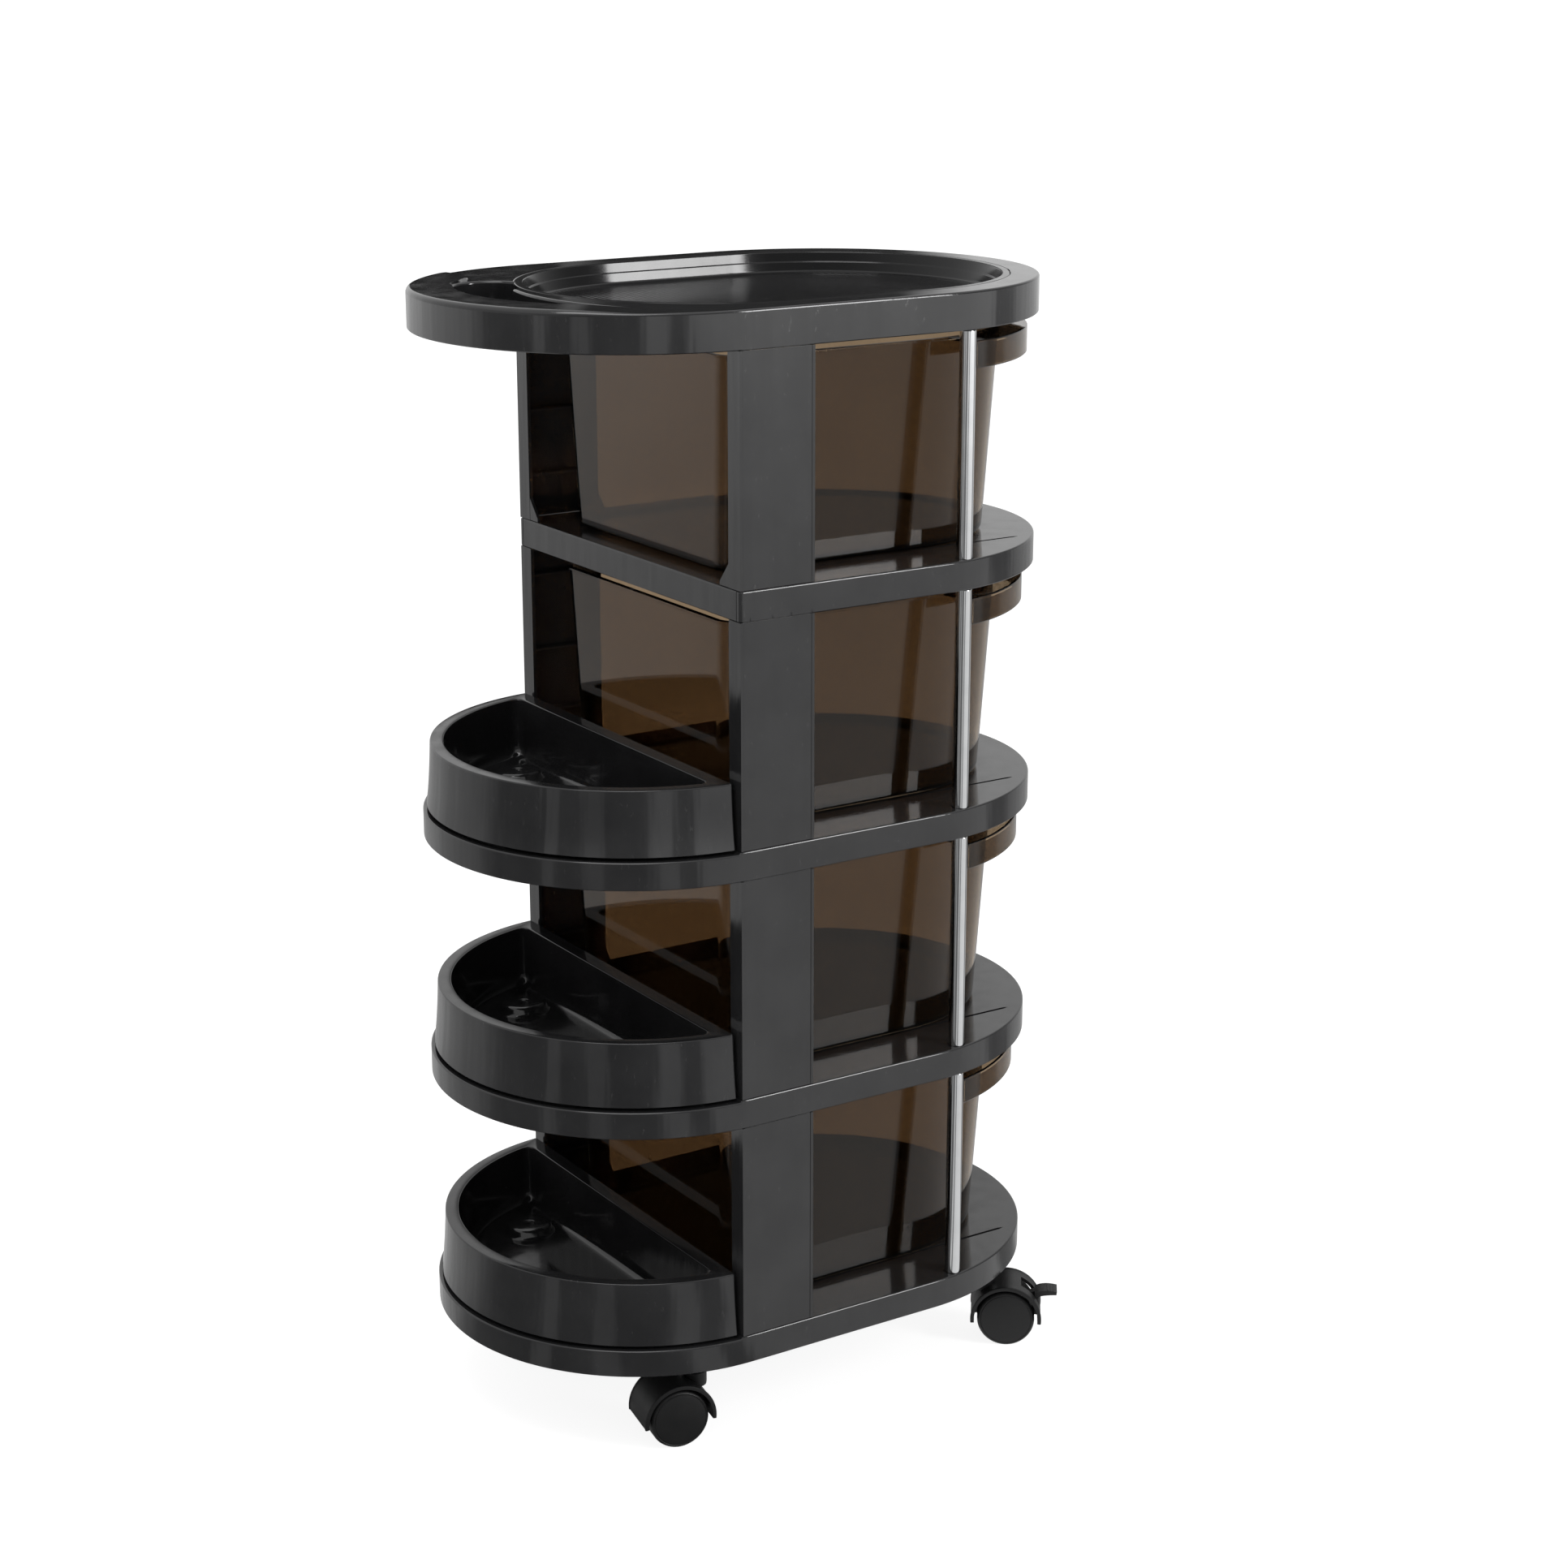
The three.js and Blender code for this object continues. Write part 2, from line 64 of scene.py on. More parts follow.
CLEARANCE = 0.3 * MM               # above and below pillars and tubes
POCKET_OUTER = 137 * MM            # radius about the rear end's centre
POCKET_BULB = (-182 * MM, 60 * MM, 30 * MM)    # x, y and radius of its round deep end
POCKET_INNER = (12 * MM, -23 * MM, 197 * MM)   # x, y and radius of its near edge
TRAY_HALF = 151 * MM
TRAY_LEFT = -22 * MM
WHEEL_RADIUS = 25 * MM
TRAIL = 20 * MM                    # a caster's stem to its axle
STEM_BORE = 5.3 * MM               # radius of the hole that takes a caster's stem
ARC_STEPS = 72                     # facets on half a turn of a large arc
CASTERS = {                        # stem's x and y, direction of trail in degrees, has a brake
    "right_rear": (-119 * MM, -130 * MM, 169, False),
    "left_rear": (-119 * MM, 130 * MM, 200, False),
    "right_front": (186 * MM, -115 * MM, 323, True),
    "left_front": (186 * MM, 115 * MM, 22, True),
}
STEP_ANGLE = (93.4, 93.8)          # where a deck steps down behind the pillars
EVEN = (1.0, 1.0, 1.0)             # a texture with no stretch


# ---- Outlines: lists of (x, y), counter-clockwise seen from above ----
def arc(cx, cy, radius, start, end, steps=ARC_STEPS):
    turn = [math.radians(start + (end - start) * i / steps) for i in range(steps + 1)]
    return [(cx + radius * math.cos(a), cy + radius * math.sin(a)) for a in turn]


def circle(cx, cy, radius, steps=ARC_STEPS):
    return arc(cx, cy, radius, 0, 360, steps)[:-1]


def closed(*runs):
    """Joins runs of points into one outline, without repeated points."""
    kept = []
    for p in (point for run in runs for point in run):
        if not kept or math.dist(p, kept[-1]) > 1e-7:
            kept.append(p)
    return kept if math.dist(kept[0], kept[-1]) > 1e-7 else kept[:-1]


def stadium(left, right, half):
    return closed(arc(right, 0, half, -90, 90), arc(left, 0, half, 90, 270))


def shelf_outline(inset):
    """A full shelf, with points on both sides of its deck's step."""
    front, back = STEP_ANGLE
    radius = END - inset
    return closed(
        arc(END_X, 0, radius, -90, 90),
        arc(-END_X, 0, radius, 90, front, 2),
        arc(-END_X, 0, radius, back, 360 - back),
        arc(-END_X, 0, radius, 360 - front, 270, 2),
    )


def bullet(flat, centre, half, corner):
    """Straight across at `flat`, and round towards +X."""
    return closed(
        arc(centre, 0, half, -90, 90),
        arc(flat + corner, half - corner, corner, 90, 180, 10),
        arc(flat + corner, corner - half, corner, 180, 270, 10),
    )


def short_outline(inset):
    """The highest shelf, which ends behind its pillars."""
    return bullet(SHORT_BACK + inset, END_X, END - inset, max(3 * MM - inset, 0.8 * MM))


def half_disc(flat, radius, corner):
    """The part of a disc about the rear end's centre that lies behind `flat`, with rounded corners."""
    x = flat - corner
    y = math.sqrt((radius - corner) ** 2 - (x + END_X) ** 2)
    open_angle = math.degrees(math.atan2(y, x + END_X))
    return closed(
        arc(x, y, corner, 0, open_angle, 10),
        arc(-END_X, 0, radius, open_angle, 360 - open_angle),
        arc(x, -y, corner, 360 - open_angle, 360, 10),
    )


def rectangle(x0, x1, y0, y1):
    return [(x0, y0), (x1, y0), (x1, y1), (x0, y1)]


# ---- Meshes ----
def loft(rings, mesh=None):
    """Skins (outline, z) rings from first to last and closes both ends; z may be one for each point."""
    mesh = mesh or bmesh.new()
    rows = []
    for outline, z in rings:
        heights = z if isinstance(z, list) else [z] * len(outline)
        rows.append([mesh.verts.new((x, y, h)) for (x, y), h in zip(outline, heights)])
    closed_skin(mesh, rows)
    return mesh


def skin(mesh, rows):
    """Faces between rings of vertices, each joined to the next."""
    count = len(rows[0])
    for low, high in zip(rows, rows[1:]):
        for i in range(count):
            j = (i + 1) % count
            mesh.faces.new((low[i], low[j], high[j], high[i]))


def closed_skin(mesh, rows):
    skin(mesh, rows)
    mesh.faces.new(list(reversed(rows[0])))
    mesh.faces.new(rows[-1])


def block(x0, x1, y0, y1, z0, z1, mesh=None):
    return loft([(rectangle(x0, x1, y0, y1), z) for z in (z0, z1)], mesh)


def rod(x, y, radius, z0, z1, mesh=None, steps=40):
    return loft([(circle(x, y, radius, steps), z) for z in (z0, z1)], mesh)


def turned(profile, steps=64, mesh=None):
    """Turns a closed profile of (radius, height) points about the Z axis."""
    mesh = mesh or bmesh.new()
    rows = []
    for radius, z in profile:
        if radius < 1e-7:
            rows.append([mesh.verts.new((0, 0, z))])
        else:
            rows.append([mesh.verts.new((x, y, z)) for x, y in circle(0, 0, radius, steps)])
    for low, high in zip(rows, rows[1:]):
        for i in range(steps):
            j = (i + 1) % steps
            if len(low) == 1 and len(high) > 1:
                mesh.faces.new((low[0], high[j], high[i]))
            elif len(high) == 1 and len(low) > 1:
                mesh.faces.new((low[i], low[j], high[0]))
            elif len(low) > 1:
                mesh.faces.new((low[i], low[j], high[j], high[i]))
    return mesh


def new_object(name, data):
    """An object in the scene, for a mesh, a light or a camera."""
    thing = bpy.data.objects.new(name, data)
    bpy.context.scene.collection.objects.link(thing)
    return thing


def object_from(mesh, name):
    """Turns a bmesh, which it uses up, into an object whose faces point outwards."""
    data = bpy.data.meshes.new(name)
    bmesh.ops.recalc_face_normals(mesh, faces=mesh.faces)
    mesh.to_mesh(data)
    mesh.free()
    return new_object(name, data)


def apply_modifiers(thing):
    graph = bpy.context.evaluated_depsgraph_get()
    data = bpy.data.meshes.new_from_object(thing.evaluated_get(graph))
    thing.modifiers.clear()
    thing.data = data


def combined(thing, operation, meshes):
    """Joins or cuts with whole meshes or objects, one after the other, and deletes them."""
    tools = []
    for mesh in meshes:
        is_object = isinstance(mesh, bpy.types.Object)
        tools.append(mesh if is_object else object_from(mesh, "tool"))
    for tool in tools:
        step = thing.modifiers.new("step", "BOOLEAN")
        step.operation = operation
        step.solver = "EXACT"
        step.object = tool
    apply_modifiers(thing)
    for tool in tools:
        bpy.data.objects.remove(tool)
    return thing


def carve(thing, *meshes):
    return combined(thing, "DIFFERENCE", meshes)


def fuse(thing, *meshes):
    return combined(thing, "UNION", meshes)


def bevelled(thing, width, segments=2, angle=35):
    rounding = thing.modifiers.new("edges", "BEVEL")
    rounding.width = width
    rounding.segments = segments
    rounding.limit_method = "ANGLE"
    rounding.angle_limit = math.radians(angle)
    apply_modifiers(thing)
    return thing


def smoothed(thing, angle=32):
    thing.data.polygons.foreach_set("use_smooth", [True] * len(thing.data.polygons))
    thing.data.set_sharp_from_angle(angle=math.radians(angle))
    weighting = thing.modifiers.new("normals", "WEIGHTED_NORMAL")
    weighting.keep_sharp = True
    weighting.weight = 60
    apply_modifiers(thing)
    return thing


def add_piece(thing, body, look, node):
    """Gives a finished mesh the material of its (material, slot) look and its body, names it after the CAD
    node that it stands for and hides that node.
    """
    material, slot = look
    thing.name = f"{node}_plated" if look is CHROME else f"{node}_moulded"
    thing.data.materials.clear()
    thing.data.materials.append(material)
    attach(thing, body)
    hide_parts(node)


# ---- Materials ----
def node_maker(tree):
    """A function that adds a node to a tree and returns its first output."""
    def node(kind, inputs=None, **settings):
        made = tree.nodes.new(kind)
        for key, value in settings.items():
            setattr(made, key, value)
        for socket, value in (inputs or {}).items():
            if isinstance(value, bpy.types.NodeSocket):
                tree.links.new(value, made.inputs[socket])
            else:
                made.inputs[socket].default_value = value
        return made.outputs[0]

    return node


def new_material(name):
    """A node material with its shader, a maker of further nodes, and a way to link one to the shader."""
    material = bpy.data.materials.new(name)
    material.use_nodes = True
    tree = material.node_tree
    shader = tree.nodes["Principled BSDF"]

    def link(output, socket):
        tree.links.new(output, shader.inputs[socket])

    return material, shader, node_maker(tree), link


def object_point(node, scale):
    """Object coordinates, multiplied by a scale along each axis."""
    point = node("ShaderNodeTexCoord").node.outputs["Object"]
    return node("ShaderNodeMapping", {"Vector": point, "Scale": scale})


def noise(node, size, detail, scale=EVEN):
    """Noise from 0 to 1; along each axis it has `size` times that axis's `scale` features a metre."""
    point = object_point(node, scale)
    return node("ShaderNodeTexNoise", {"Vector": point, "Scale": size, "Detail": detail})


def ramp(node, factor, stops):
    """A colour ramp with (position, grey or colour) stops."""
    made = node("ShaderNodeValToRGB", {"Fac": factor})
    elements = made.node.color_ramp.elements
    for index, (position, value) in enumerate(stops):
        element = elements[index] if index < 2 else elements.new(position)
        element.position = position
        element.color = (*value, 1) if isinstance(value, tuple) else (value, value, value, 1)
    return made


def mixed(node, factor, first, second):
    """A blend of two colours, where each is a socket or (red, green, blue)."""
    inputs = {0: factor, 6: first, 7: second}
    for socket in (6, 7):
        if isinstance(inputs[socket], tuple):
            inputs[socket] = (*inputs[socket], 1)
    return node("ShaderNodeMix", inputs, data_type="RGBA").node.outputs[2]


def bump(node, height, strength, distance, below=None):
    inputs = {"Height": height, "Strength": strength, "Distance": distance}
    if below:
        inputs["Normal"] = below
    return node("ShaderNodeBump", inputs)


def remapped(node, value, source, target, interpolation="LINEAR"):
    """Moves a value from one (low, high) range to another."""
    ranges = {"From Min": source[0], "From Max": source[1], "To Min": target[0], "To Max": target[1]}
    return node("ShaderNodeMapRange", {"Value": value, **ranges}, interpolation_type=interpolation)


def wall_share(node):
    """1 on upright faces and 0 on level ones."""
    normal = node("ShaderNodeNewGeometry").node.outputs["True Normal"]
    height = node("ShaderNodeSeparateXYZ", {"Vector": normal}).node.outputs["Z"]
    level = node("ShaderNodeMath", {0: height}, operation="ABSOLUTE")
    return remapped(node, level, (0.3, 0.8), (1.0, 0.0))


def moulded_black():
    """Polished black ABS: flow marks down the walls, faint scuffs, and a little waviness."""
    material, shader, node, link = new_material("moulded_black")
    flow = noise(node, 60, 2.0, (1.0, 1.0, 0.10))
    cloud = noise(node, 22, 4.0)
    scuffs = noise(node, 420, 2.0, (1.0, 1.0, 0.35))
    marks = ramp(node, scuffs, [(0.66, 0.0), (0.80, 1.0)])
    patches = ramp(node, cloud, [(0.35, 0.0), (0.65, 1.0)])
    base = mixed(node, patches, (0.0095, 0.0095, 0.010), (0.0135, 0.0135, 0.014))
    faint = node("ShaderNodeMath", {0: marks, 1: 0.25}, operation="MULTIPLY")
    link(mixed(node, faint, base, (0.045, 0.045, 0.045)), "Base Color")
    gloss = remapped(node, flow, (0.3, 0.7), (0.07, 0.15))
    rough = node("ShaderNodeMath", {0: marks, 1: 0.18, 2: gloss}, operation="MULTIPLY_ADD")
    link(rough, "Roughness")
    upright = node("ShaderNodeMath", {0: flow, 1: wall_share(node)}, operation="MULTIPLY")
    waves = bump(node, upright, 0.55, 0.0009)
    link(bump(node, cloud, 0.10, 0.0008, waves), "Normal")
    shader.inputs["IOR"].default_value = 1.53
    return material


def tray_black():
    """The tray insert's deeper, shinier black, with fine wear on its floor."""
    material, shader, node, link = new_material("tray_black")
    cloud = noise(node, 45, 3.0)
    speckle = noise(node, 900, 2.0)
    dots = ramp(node, speckle, [(0.70, 0.0), (0.76, 1.0)])
    link(mixed(node, dots, (0.0042, 0.0042, 0.0045), (0.02, 0.02, 0.02)), "Base Color")
    link(remapped(node, cloud, (0.0, 1.0), (0.10, 0.20)), "Roughness")
    link(bump(node, cloud, 0.12, 0.0006), "Normal")
    shader.inputs["IOR"].default_value = 1.5
    return material


def smoke_plastic():
    """Clear brown styrene, a little streaked where it flowed into the mould."""
    material, shader, node, link = new_material("smoke_plastic")
    flow = noise(node, 26, 2.5, (1.0, 1.0, 0.22))
    cloud = noise(node, 9, 2.0)
    link(mixed(node, cloud, (0.162, 0.114, 0.068), (0.208, 0.152, 0.098)), "Base Color")
    link(remapped(node, flow, (0.0, 1.0), (0.0, 0.04)), "Roughness")
    link(bump(node, flow, 0.10, 0.0008), "Normal")
    shader.inputs["Transmission Weight"].default_value = 1.0
    shader.inputs["IOR"].default_value = 1.34
    return material


def chrome():
    """Bright plating with faint polishing lines along the tube."""
    material, shader, node, link = new_material("chrome")
    lines = noise(node, 900, 2.0, (1.0, 1.0, 0.02))
    cloud = noise(node, 60, 2.0)
    link(mixed(node, cloud, (0.60, 0.61, 0.62), (0.72, 0.725, 0.73)), "Base Color")
    link(remapped(node, lines, (0.0, 1.0), (0.05, 0.14)), "Roughness")
    link(bump(node, lines, 0.08, 0.0001), "Normal")
    shader.inputs["Metallic"].default_value = 1.0
    return material


def caster_plastic():
    """Matt black nylon with a fine spark texture."""
    material, shader, node, link = new_material("caster_plastic")
    grain = noise(node, 2600, 2.0)
    cloud = noise(node, 70, 3.0)
    link(mixed(node, cloud, (0.0045, 0.0045, 0.005), (0.008, 0.008, 0.008)), "Base Color")
    shader.inputs["Specular IOR Level"].default_value = 0.32
    link(remapped(node, cloud, (0.0, 1.0), (0.38, 0.52)), "Roughness")
    link(bump(node, grain, 0.35, 0.0002), "Normal")
    return material


def steel():
    """Drawn steel axle stock."""
    material, shader, node, link = new_material("steel")
    lines = noise(node, 1500, 2.0, (0.1, 1.0, 1.0))
    link(mixed(node, lines, (0.30, 0.30, 0.31), (0.40, 0.40, 0.41)), "Base Color")
    link(remapped(node, lines, (0.0, 1.0), (0.25, 0.42)), "Roughness")
    shader.inputs["Metallic"].default_value = 1.0
    return material


BLACK = (moulded_black(), "black_plastic")
TRAY_BLACK = (tray_black(), "tray_black")
SMOKE = (smoke_plastic(), "smoke_plastic")
CHROME = (chrome(), "chrome")
CASTER = (caster_plastic(), "caster_plastic")
STEEL = steel()


# ---- Heights ----
def underside_z(level):
    """Underside of the shelf below drawer `level`."""
    return FLOOR_GAP + PITCH * (LEVELS[-1] - level)


def deck_z(level):
    return underside_z(level) + SHELF_HEIGHT


# ---- Shelves ----
REAR_DROP = 1.5 * MM               # the deck's step down behind the pillars
SHELF_EDGE = 1.5 * MM              # rounding of a shelf's upper edge
RIB_PITCH = 88 * MM
RIB_HALF = 1.25 * MM
RIB_RISE = 8 * MM                  # lower edge of the ribs, above the skirt's
OVERLAP = 0.5 * MM                 # how far a joined part reaches into the deck
GROOVE_Y = 118 * MM
GROOVE_BACK = -76 * MM
GROOVE_FRONT = 204 * MM
GROOVE_POINT = 5 * MM              # length of the groove's pointed end
GROOVE_HALF = 1.5 * MM
GROOVE_DEPTH = 2.4 * MM
RUNNER_EDGE = 4 * MM               # a groove's centre or end to the edge of the runner below it
RUNNER_DEPTH = 3 * MM
SEAT_DEPTH = 3 * MM                # how far a tube is let into the deck
SEAT_GAP = 0.7 * MM
PAD_LIFT = 0.2 * MM                # the skirt's lower edge to a pad's
TUBE_PAD = 9 * MM                  # radius of a tube's pad, which sits further in than the tube
TUBE_PAD_INSET = 5 * MM
BOSS_RADIUS = 14 * MM
BOSS_DROP = 8 * MM


def behind_step(outline):
    """Which of an outline's points lie on the lower part of the deck."""
    limit = math.radians(sum(STEP_ANGLE) / 2)
    return [abs(math.atan2(y, x + END_X)) > limit for x, y in outline]


def skirt_profile(z0, z1, edge):
    """(inset, z) from a skirt's lower edge over its rounded upper edge."""
    low = 0.7 * MM
    rounding = arc(0, 0, edge, 0, 90, 5)
    return [(low, z0), (0, z0 + low)] + [(edge - x, z1 - edge + z) for x, z in rounding]


def shelf_slab(outline, z0, z1, is_stepped):
    """A solid shelf; the deck of a stepped one is two level faces with a riser between them."""
    mesh = bmesh.new()
    rows = []
    for inset, z in skirt_profile(z0, z1, SHELF_EDGE):
        ring = outline(inset)
        drop = REAR_DROP if is_stepped and z > (z0 + z1) / 2 else 0
        rows.append([
            mesh.verts.new((x, y, z - drop if behind else z))
            for (x, y), behind in zip(ring, behind_step(ring))
        ])
    skin(mesh, rows)
    mesh.faces.new(list(reversed(rows[0])))
    top = rows[-1]
    if not is_stepped:
        mesh.faces.new(top)
        return mesh
    behind = behind_step(outline(SHELF_EDGE))
    first = behind.index(True)
    last = len(behind) - 1 - behind[::-1].index(True)
    mesh.faces.new(top[first:last + 1])
    mesh.faces.new(top[last + 1:] + top[:first])
    mesh.faces.new((top[first - 1], top[first], top[last], top[(last + 1) % len(top)]))
    return mesh


def shelf_bars(is_short, z0, z1):
    """Ribs under a deck, one mesh for each direction; their ends run into the skirt."""
    reach = END - WALL / 2
    low = z0 + RIB_RISE
    rear = PILLAR_BACK + WALL / 2 if is_short else -END
    lengthwise = bmesh.new()
    crosswise = bmesh.new()
    for i in (-1, 0, 1):
        y = i * RIB_PITCH
        x = END_X + math.sqrt(reach ** 2 - y ** 2)
        back = max(-x, rear) if is_short else -x
        block(back, x, y - RIB_HALF, y + RIB_HALF, low, z1, lengthwise)
    for i in (-2, -1, 0, 1, 2):
        x = i * RIB_PITCH
        y = math.sqrt(reach ** 2 - max(abs(x) - END_X, 0) ** 2)
        if x > rear:
            block(x - RIB_HALF, x + RIB_HALF, -y, y, low, z1, crosswise)
    return lengthwise, crosswise


def support_pads(back, z0, z1):
    """Blocks that rest on the pillars and tubes of the level below."""
    mesh = bmesh.new()
    low = z0 + PAD_LIFT
    for side in SIGNS:
        y0, y1 = sorted((side * (END - PILLAR_DEPTH), side * (END - WALL / 2)))
        block(back, PILLAR_FRONT, y0, y1, low, z1, mesh)
        rod(TUBE_X, side * (TUBE_Y - TUBE_PAD_INSET), TUBE_PAD, low, z1, mesh)
    return mesh


def runners(under):
    """Strips under a deck that give its grooves a floor."""
    mesh = bmesh.new()
    back, front = GROOVE_BACK - RUNNER_EDGE, GROOVE_FRONT + RUNNER_EDGE
    for side in SIGNS:
        y = side * GROOVE_Y
        block(back, front, y - RUNNER_EDGE, y + RUNNER_EDGE, under - RUNNER_DEPTH, under + OVERLAP, mesh)
    return mesh


def caster_rods(radius, z0, z1):
    """An upright rod at each caster's stem."""
    mesh = bmesh.new()
    for x, y, _, _ in CASTERS.values():
        rod(x, y, radius, z0, z1, mesh)
    return mesh


def deck_cuts(z1):
    """Grooves that stop the drawers, each with a pointed front end, and the tubes' seats."""
    mesh = bmesh.new()
    shoulder = GROOVE_FRONT - GROOVE_POINT
    for side in SIGNS:
        y = side * GROOVE_Y
        right, left = y - GROOVE_HALF, y + GROOVE_HALF
        outline = [
            (GROOVE_BACK, right), (shoulder, right), (GROOVE_FRONT, y), (shoulder, left),
            (GROOVE_BACK, left),
        ]
        loft([(outline, z1 - GROOVE_DEPTH), (outline, z1 + MM)], mesh)
        rod(TUBE_X, side * TUBE_Y, TUBE_RADIUS + SEAT_GAP, z1 - SEAT_DEPTH, z1 + MM, mesh)
    return mesh


def sink_marks(z0):
    """Four small tapered dimples at the skirt's lower edge above each pillar."""
    mesh = bmesh.new()
    wide, narrow, steps = 1.6 * MM, 0.5 * MM, 12
    for side in SIGNS:
        for x in (-92, -72, -55, -36):
            centre = (x * MM, side * (END + 0.5 * MM))
            mouth = (circle(*centre, wide, steps), z0 - MM)
            loft([mouth, (circle(*centre, narrow, steps), z0 + 5 * MM)], mesh)
    return mesh


def rear_seams(z0, z1):
    """Upright joint lines on the short shelf's rear face."""
    mesh = bmesh.new()
    depth, half = 0.5 * MM, 0.4 * MM
    for side in SIGNS:
        y = side * (END - 5.5 * MM)
        block(SHORT_BACK - MM, SHORT_BACK + depth, y - half, y + half, z0 - MM, z1 + MM, mesh)
    return mesh


def shelf(level):
    """A deck with a skirt, ribs and grooves; the base has stem sockets, the others rest on pillars."""
    z0, z1 = underside_z(level), deck_z(level)
    under = z1 - DECK
    is_short, is_base = level == 1, level == LEVELS[-1]
    outline = short_outline if is_short else shelf_outline
    name = "base_shelf" if is_base else f"shelf_{level}"
    thing = object_from(shelf_slab(outline, z0, z1, not is_short), name)
    carve(thing, loft([(outline(WALL), z0 - MM), (outline(WALL), under)]))
    if is_base:
        supports = caster_rods(BOSS_RADIUS, z0 - BOSS_DROP, under + OVERLAP)
    else:
        supports = support_pads(PILLAR_BACK + WALL / 2, z0, under + OVERLAP)
    fuse(thing, *shelf_bars(is_short, z0, under + OVERLAP), runners(under), supports)
    cuts = [deck_cuts(z1)]
    if is_short:
        cuts += [sink_marks(z0), rear_seams(z0, z1)]
    if is_base:
        cuts.append(caster_rods(STEM_BORE, z0 - BOSS_DROP - MM, z0 + 14 * MM))
    carve(thing, *cuts)
    add_piece(smoothed(thing), "root", BLACK, name)


# ---- Pillars and tubes ----
def mirrored(points, side):
    return [(x, side * y) for x, y in points]


def slab_across(points, x0, x1, mesh=None):
    """An outline drawn in Y and Z, spread along X."""
    mesh = mesh or bmesh.new()
    rows = [[mesh.verts.new((x, y, z)) for y, z in points] for x in (x0, x1)]
    closed_skin(mesh, rows)
    return mesh


PLATE = 3 * MM                     # thickness of a pillar's walls
PILLAR_OUTER = END - 0.4 * MM


def pillar_channel():
    """The pillar's cross-section at the left side, with a shallow recess in its outer face."""
    back, front, outer = PILLAR_BACK, PILLAR_FRONT, PILLAR_OUTER
    inner, border, recess = outer - PILLAR_DEPTH, 2.4 * MM, 0.4 * MM
    return [
        (back, inner), (back, outer), (back + border, outer), (back + border + recess, outer - recess),
        (front - border - recess, outer - recess), (front - border, outer), (front, outer), (front, inner),
        (front - PLATE, inner), (front - PLATE, outer - PLATE), (back + PLATE, outer - PLATE),
        (back + PLATE, inner),
    ]


def pillar_feet(side, z0):
    """Splayed ends at the foot of the front and back walls."""
    outer = side * (PILLAR_OUTER - 2 * MM)
    toe = side * (PILLAR_OUTER - 30 * MM)
    heel = side * (PILLAR_OUTER - 16 * MM)
    low, tread, high = z0 + 0.1 * MM, z0 + 3 * MM, z0 + 20 * MM
    outline = [(outer, low), (toe, low), (toe, tread), (heel, high), (outer, high)]
    mesh = bmesh.new()
    for x in (PILLAR_BACK, PILLAR_FRONT - PLATE):
        slab_across(outline, x + 0.2 * MM, x + PLATE - 0.2 * MM, mesh)
    return mesh


def pillar_ribs(side, z0, z1):
    """Three level ribs inside the channel."""
    mesh = bmesh.new()
    y0, y1 = sorted((side * (PILLAR_OUTER - 2 * MM), side * (PILLAR_OUTER - 14 * MM)))
    for share in (0.2, 0.5, 0.86):
        z = z0 + share * (z1 - z0)
        block(PILLAR_BACK + MM, PILLAR_FRONT - MM, y0, y1, z, z + 2 * MM, mesh)
    return mesh


def pillar(level, side_name, side):
    """A channel with a recessed outer face, splayed feet and three inner ribs."""
    z0 = deck_z(level) + CLEARANCE
    z1 = deck_z(level) + PITCH - SHELF_HEIGHT - CLEARANCE
    name = f"pillar_{level}_{side_name}"
    outline = mirrored(pillar_channel(), side)
    thing = object_from(loft([(outline, z0), (outline, z1)]), name)
    fuse(thing, pillar_feet(side, z0), pillar_ribs(side, z0, z1))
    bevelled(thing, 0.45 * MM, 2)
    add_piece(smoothed(thing), "root", BLACK, name)


def tube(level, side_name, side):
    """A chromed tube with rounded ends, let into the shelf below."""
    z0 = deck_z(level) - SEAT_DEPTH + CLEARANCE
    z1 = deck_z(level) + PITCH - SHELF_HEIGHT - CLEARANCE
    edge = 1.2 * MM
    profile = [(0, z0)]
    profile += arc(TUBE_RADIUS - edge, z0 + edge, edge, -90, 0, 4)
    profile += arc(TUBE_RADIUS - edge, z1 - edge, edge, 0, 90, 4)
    profile.append((0, z1))
    mesh = turned(profile, 48)
    mesh.transform(Matrix.Translation((TUBE_X, side * TUBE_Y, 0)))
    name = f"tube_{level}_{side_name}"
    add_piece(smoothed(object_from(mesh, name)), "root", CHROME, name)


# ---- The top ----
CREST_STEP = (116, 120)            # where the crest steps up, in degrees about the rear end's centre
CREST_SLANT = 12                   # how much later that is beside the pocket
CREST_TAPER = (226, 244)           # where it fades out
POCKET_DEPTH = 20 * MM
SEAT_DROP = 2.8 * MM               # how far the tray's rim lies below the cap's top


def smoothstep(value, low, high):
    share = min(max((value - low) / (high - low), 0), 1)
    return share * share * (3 - 2 * share)


def crest_height(x, y):
    """Height of the raised edge round the rear end: a step at one side and a taper at the other."""
    angle = math.degrees(math.atan2(y, x + END_X)) % 360
    radius = math.hypot(x + END_X, y)
    slant = CREST_SLANT * (END - radius) / (END - POCKET_OUTER)
    risen = smoothstep(angle, CREST_STEP[0] + slant, CREST_STEP[1] + slant)
    return CREST * risen * (1 - smoothstep(angle, *CREST_TAPER))


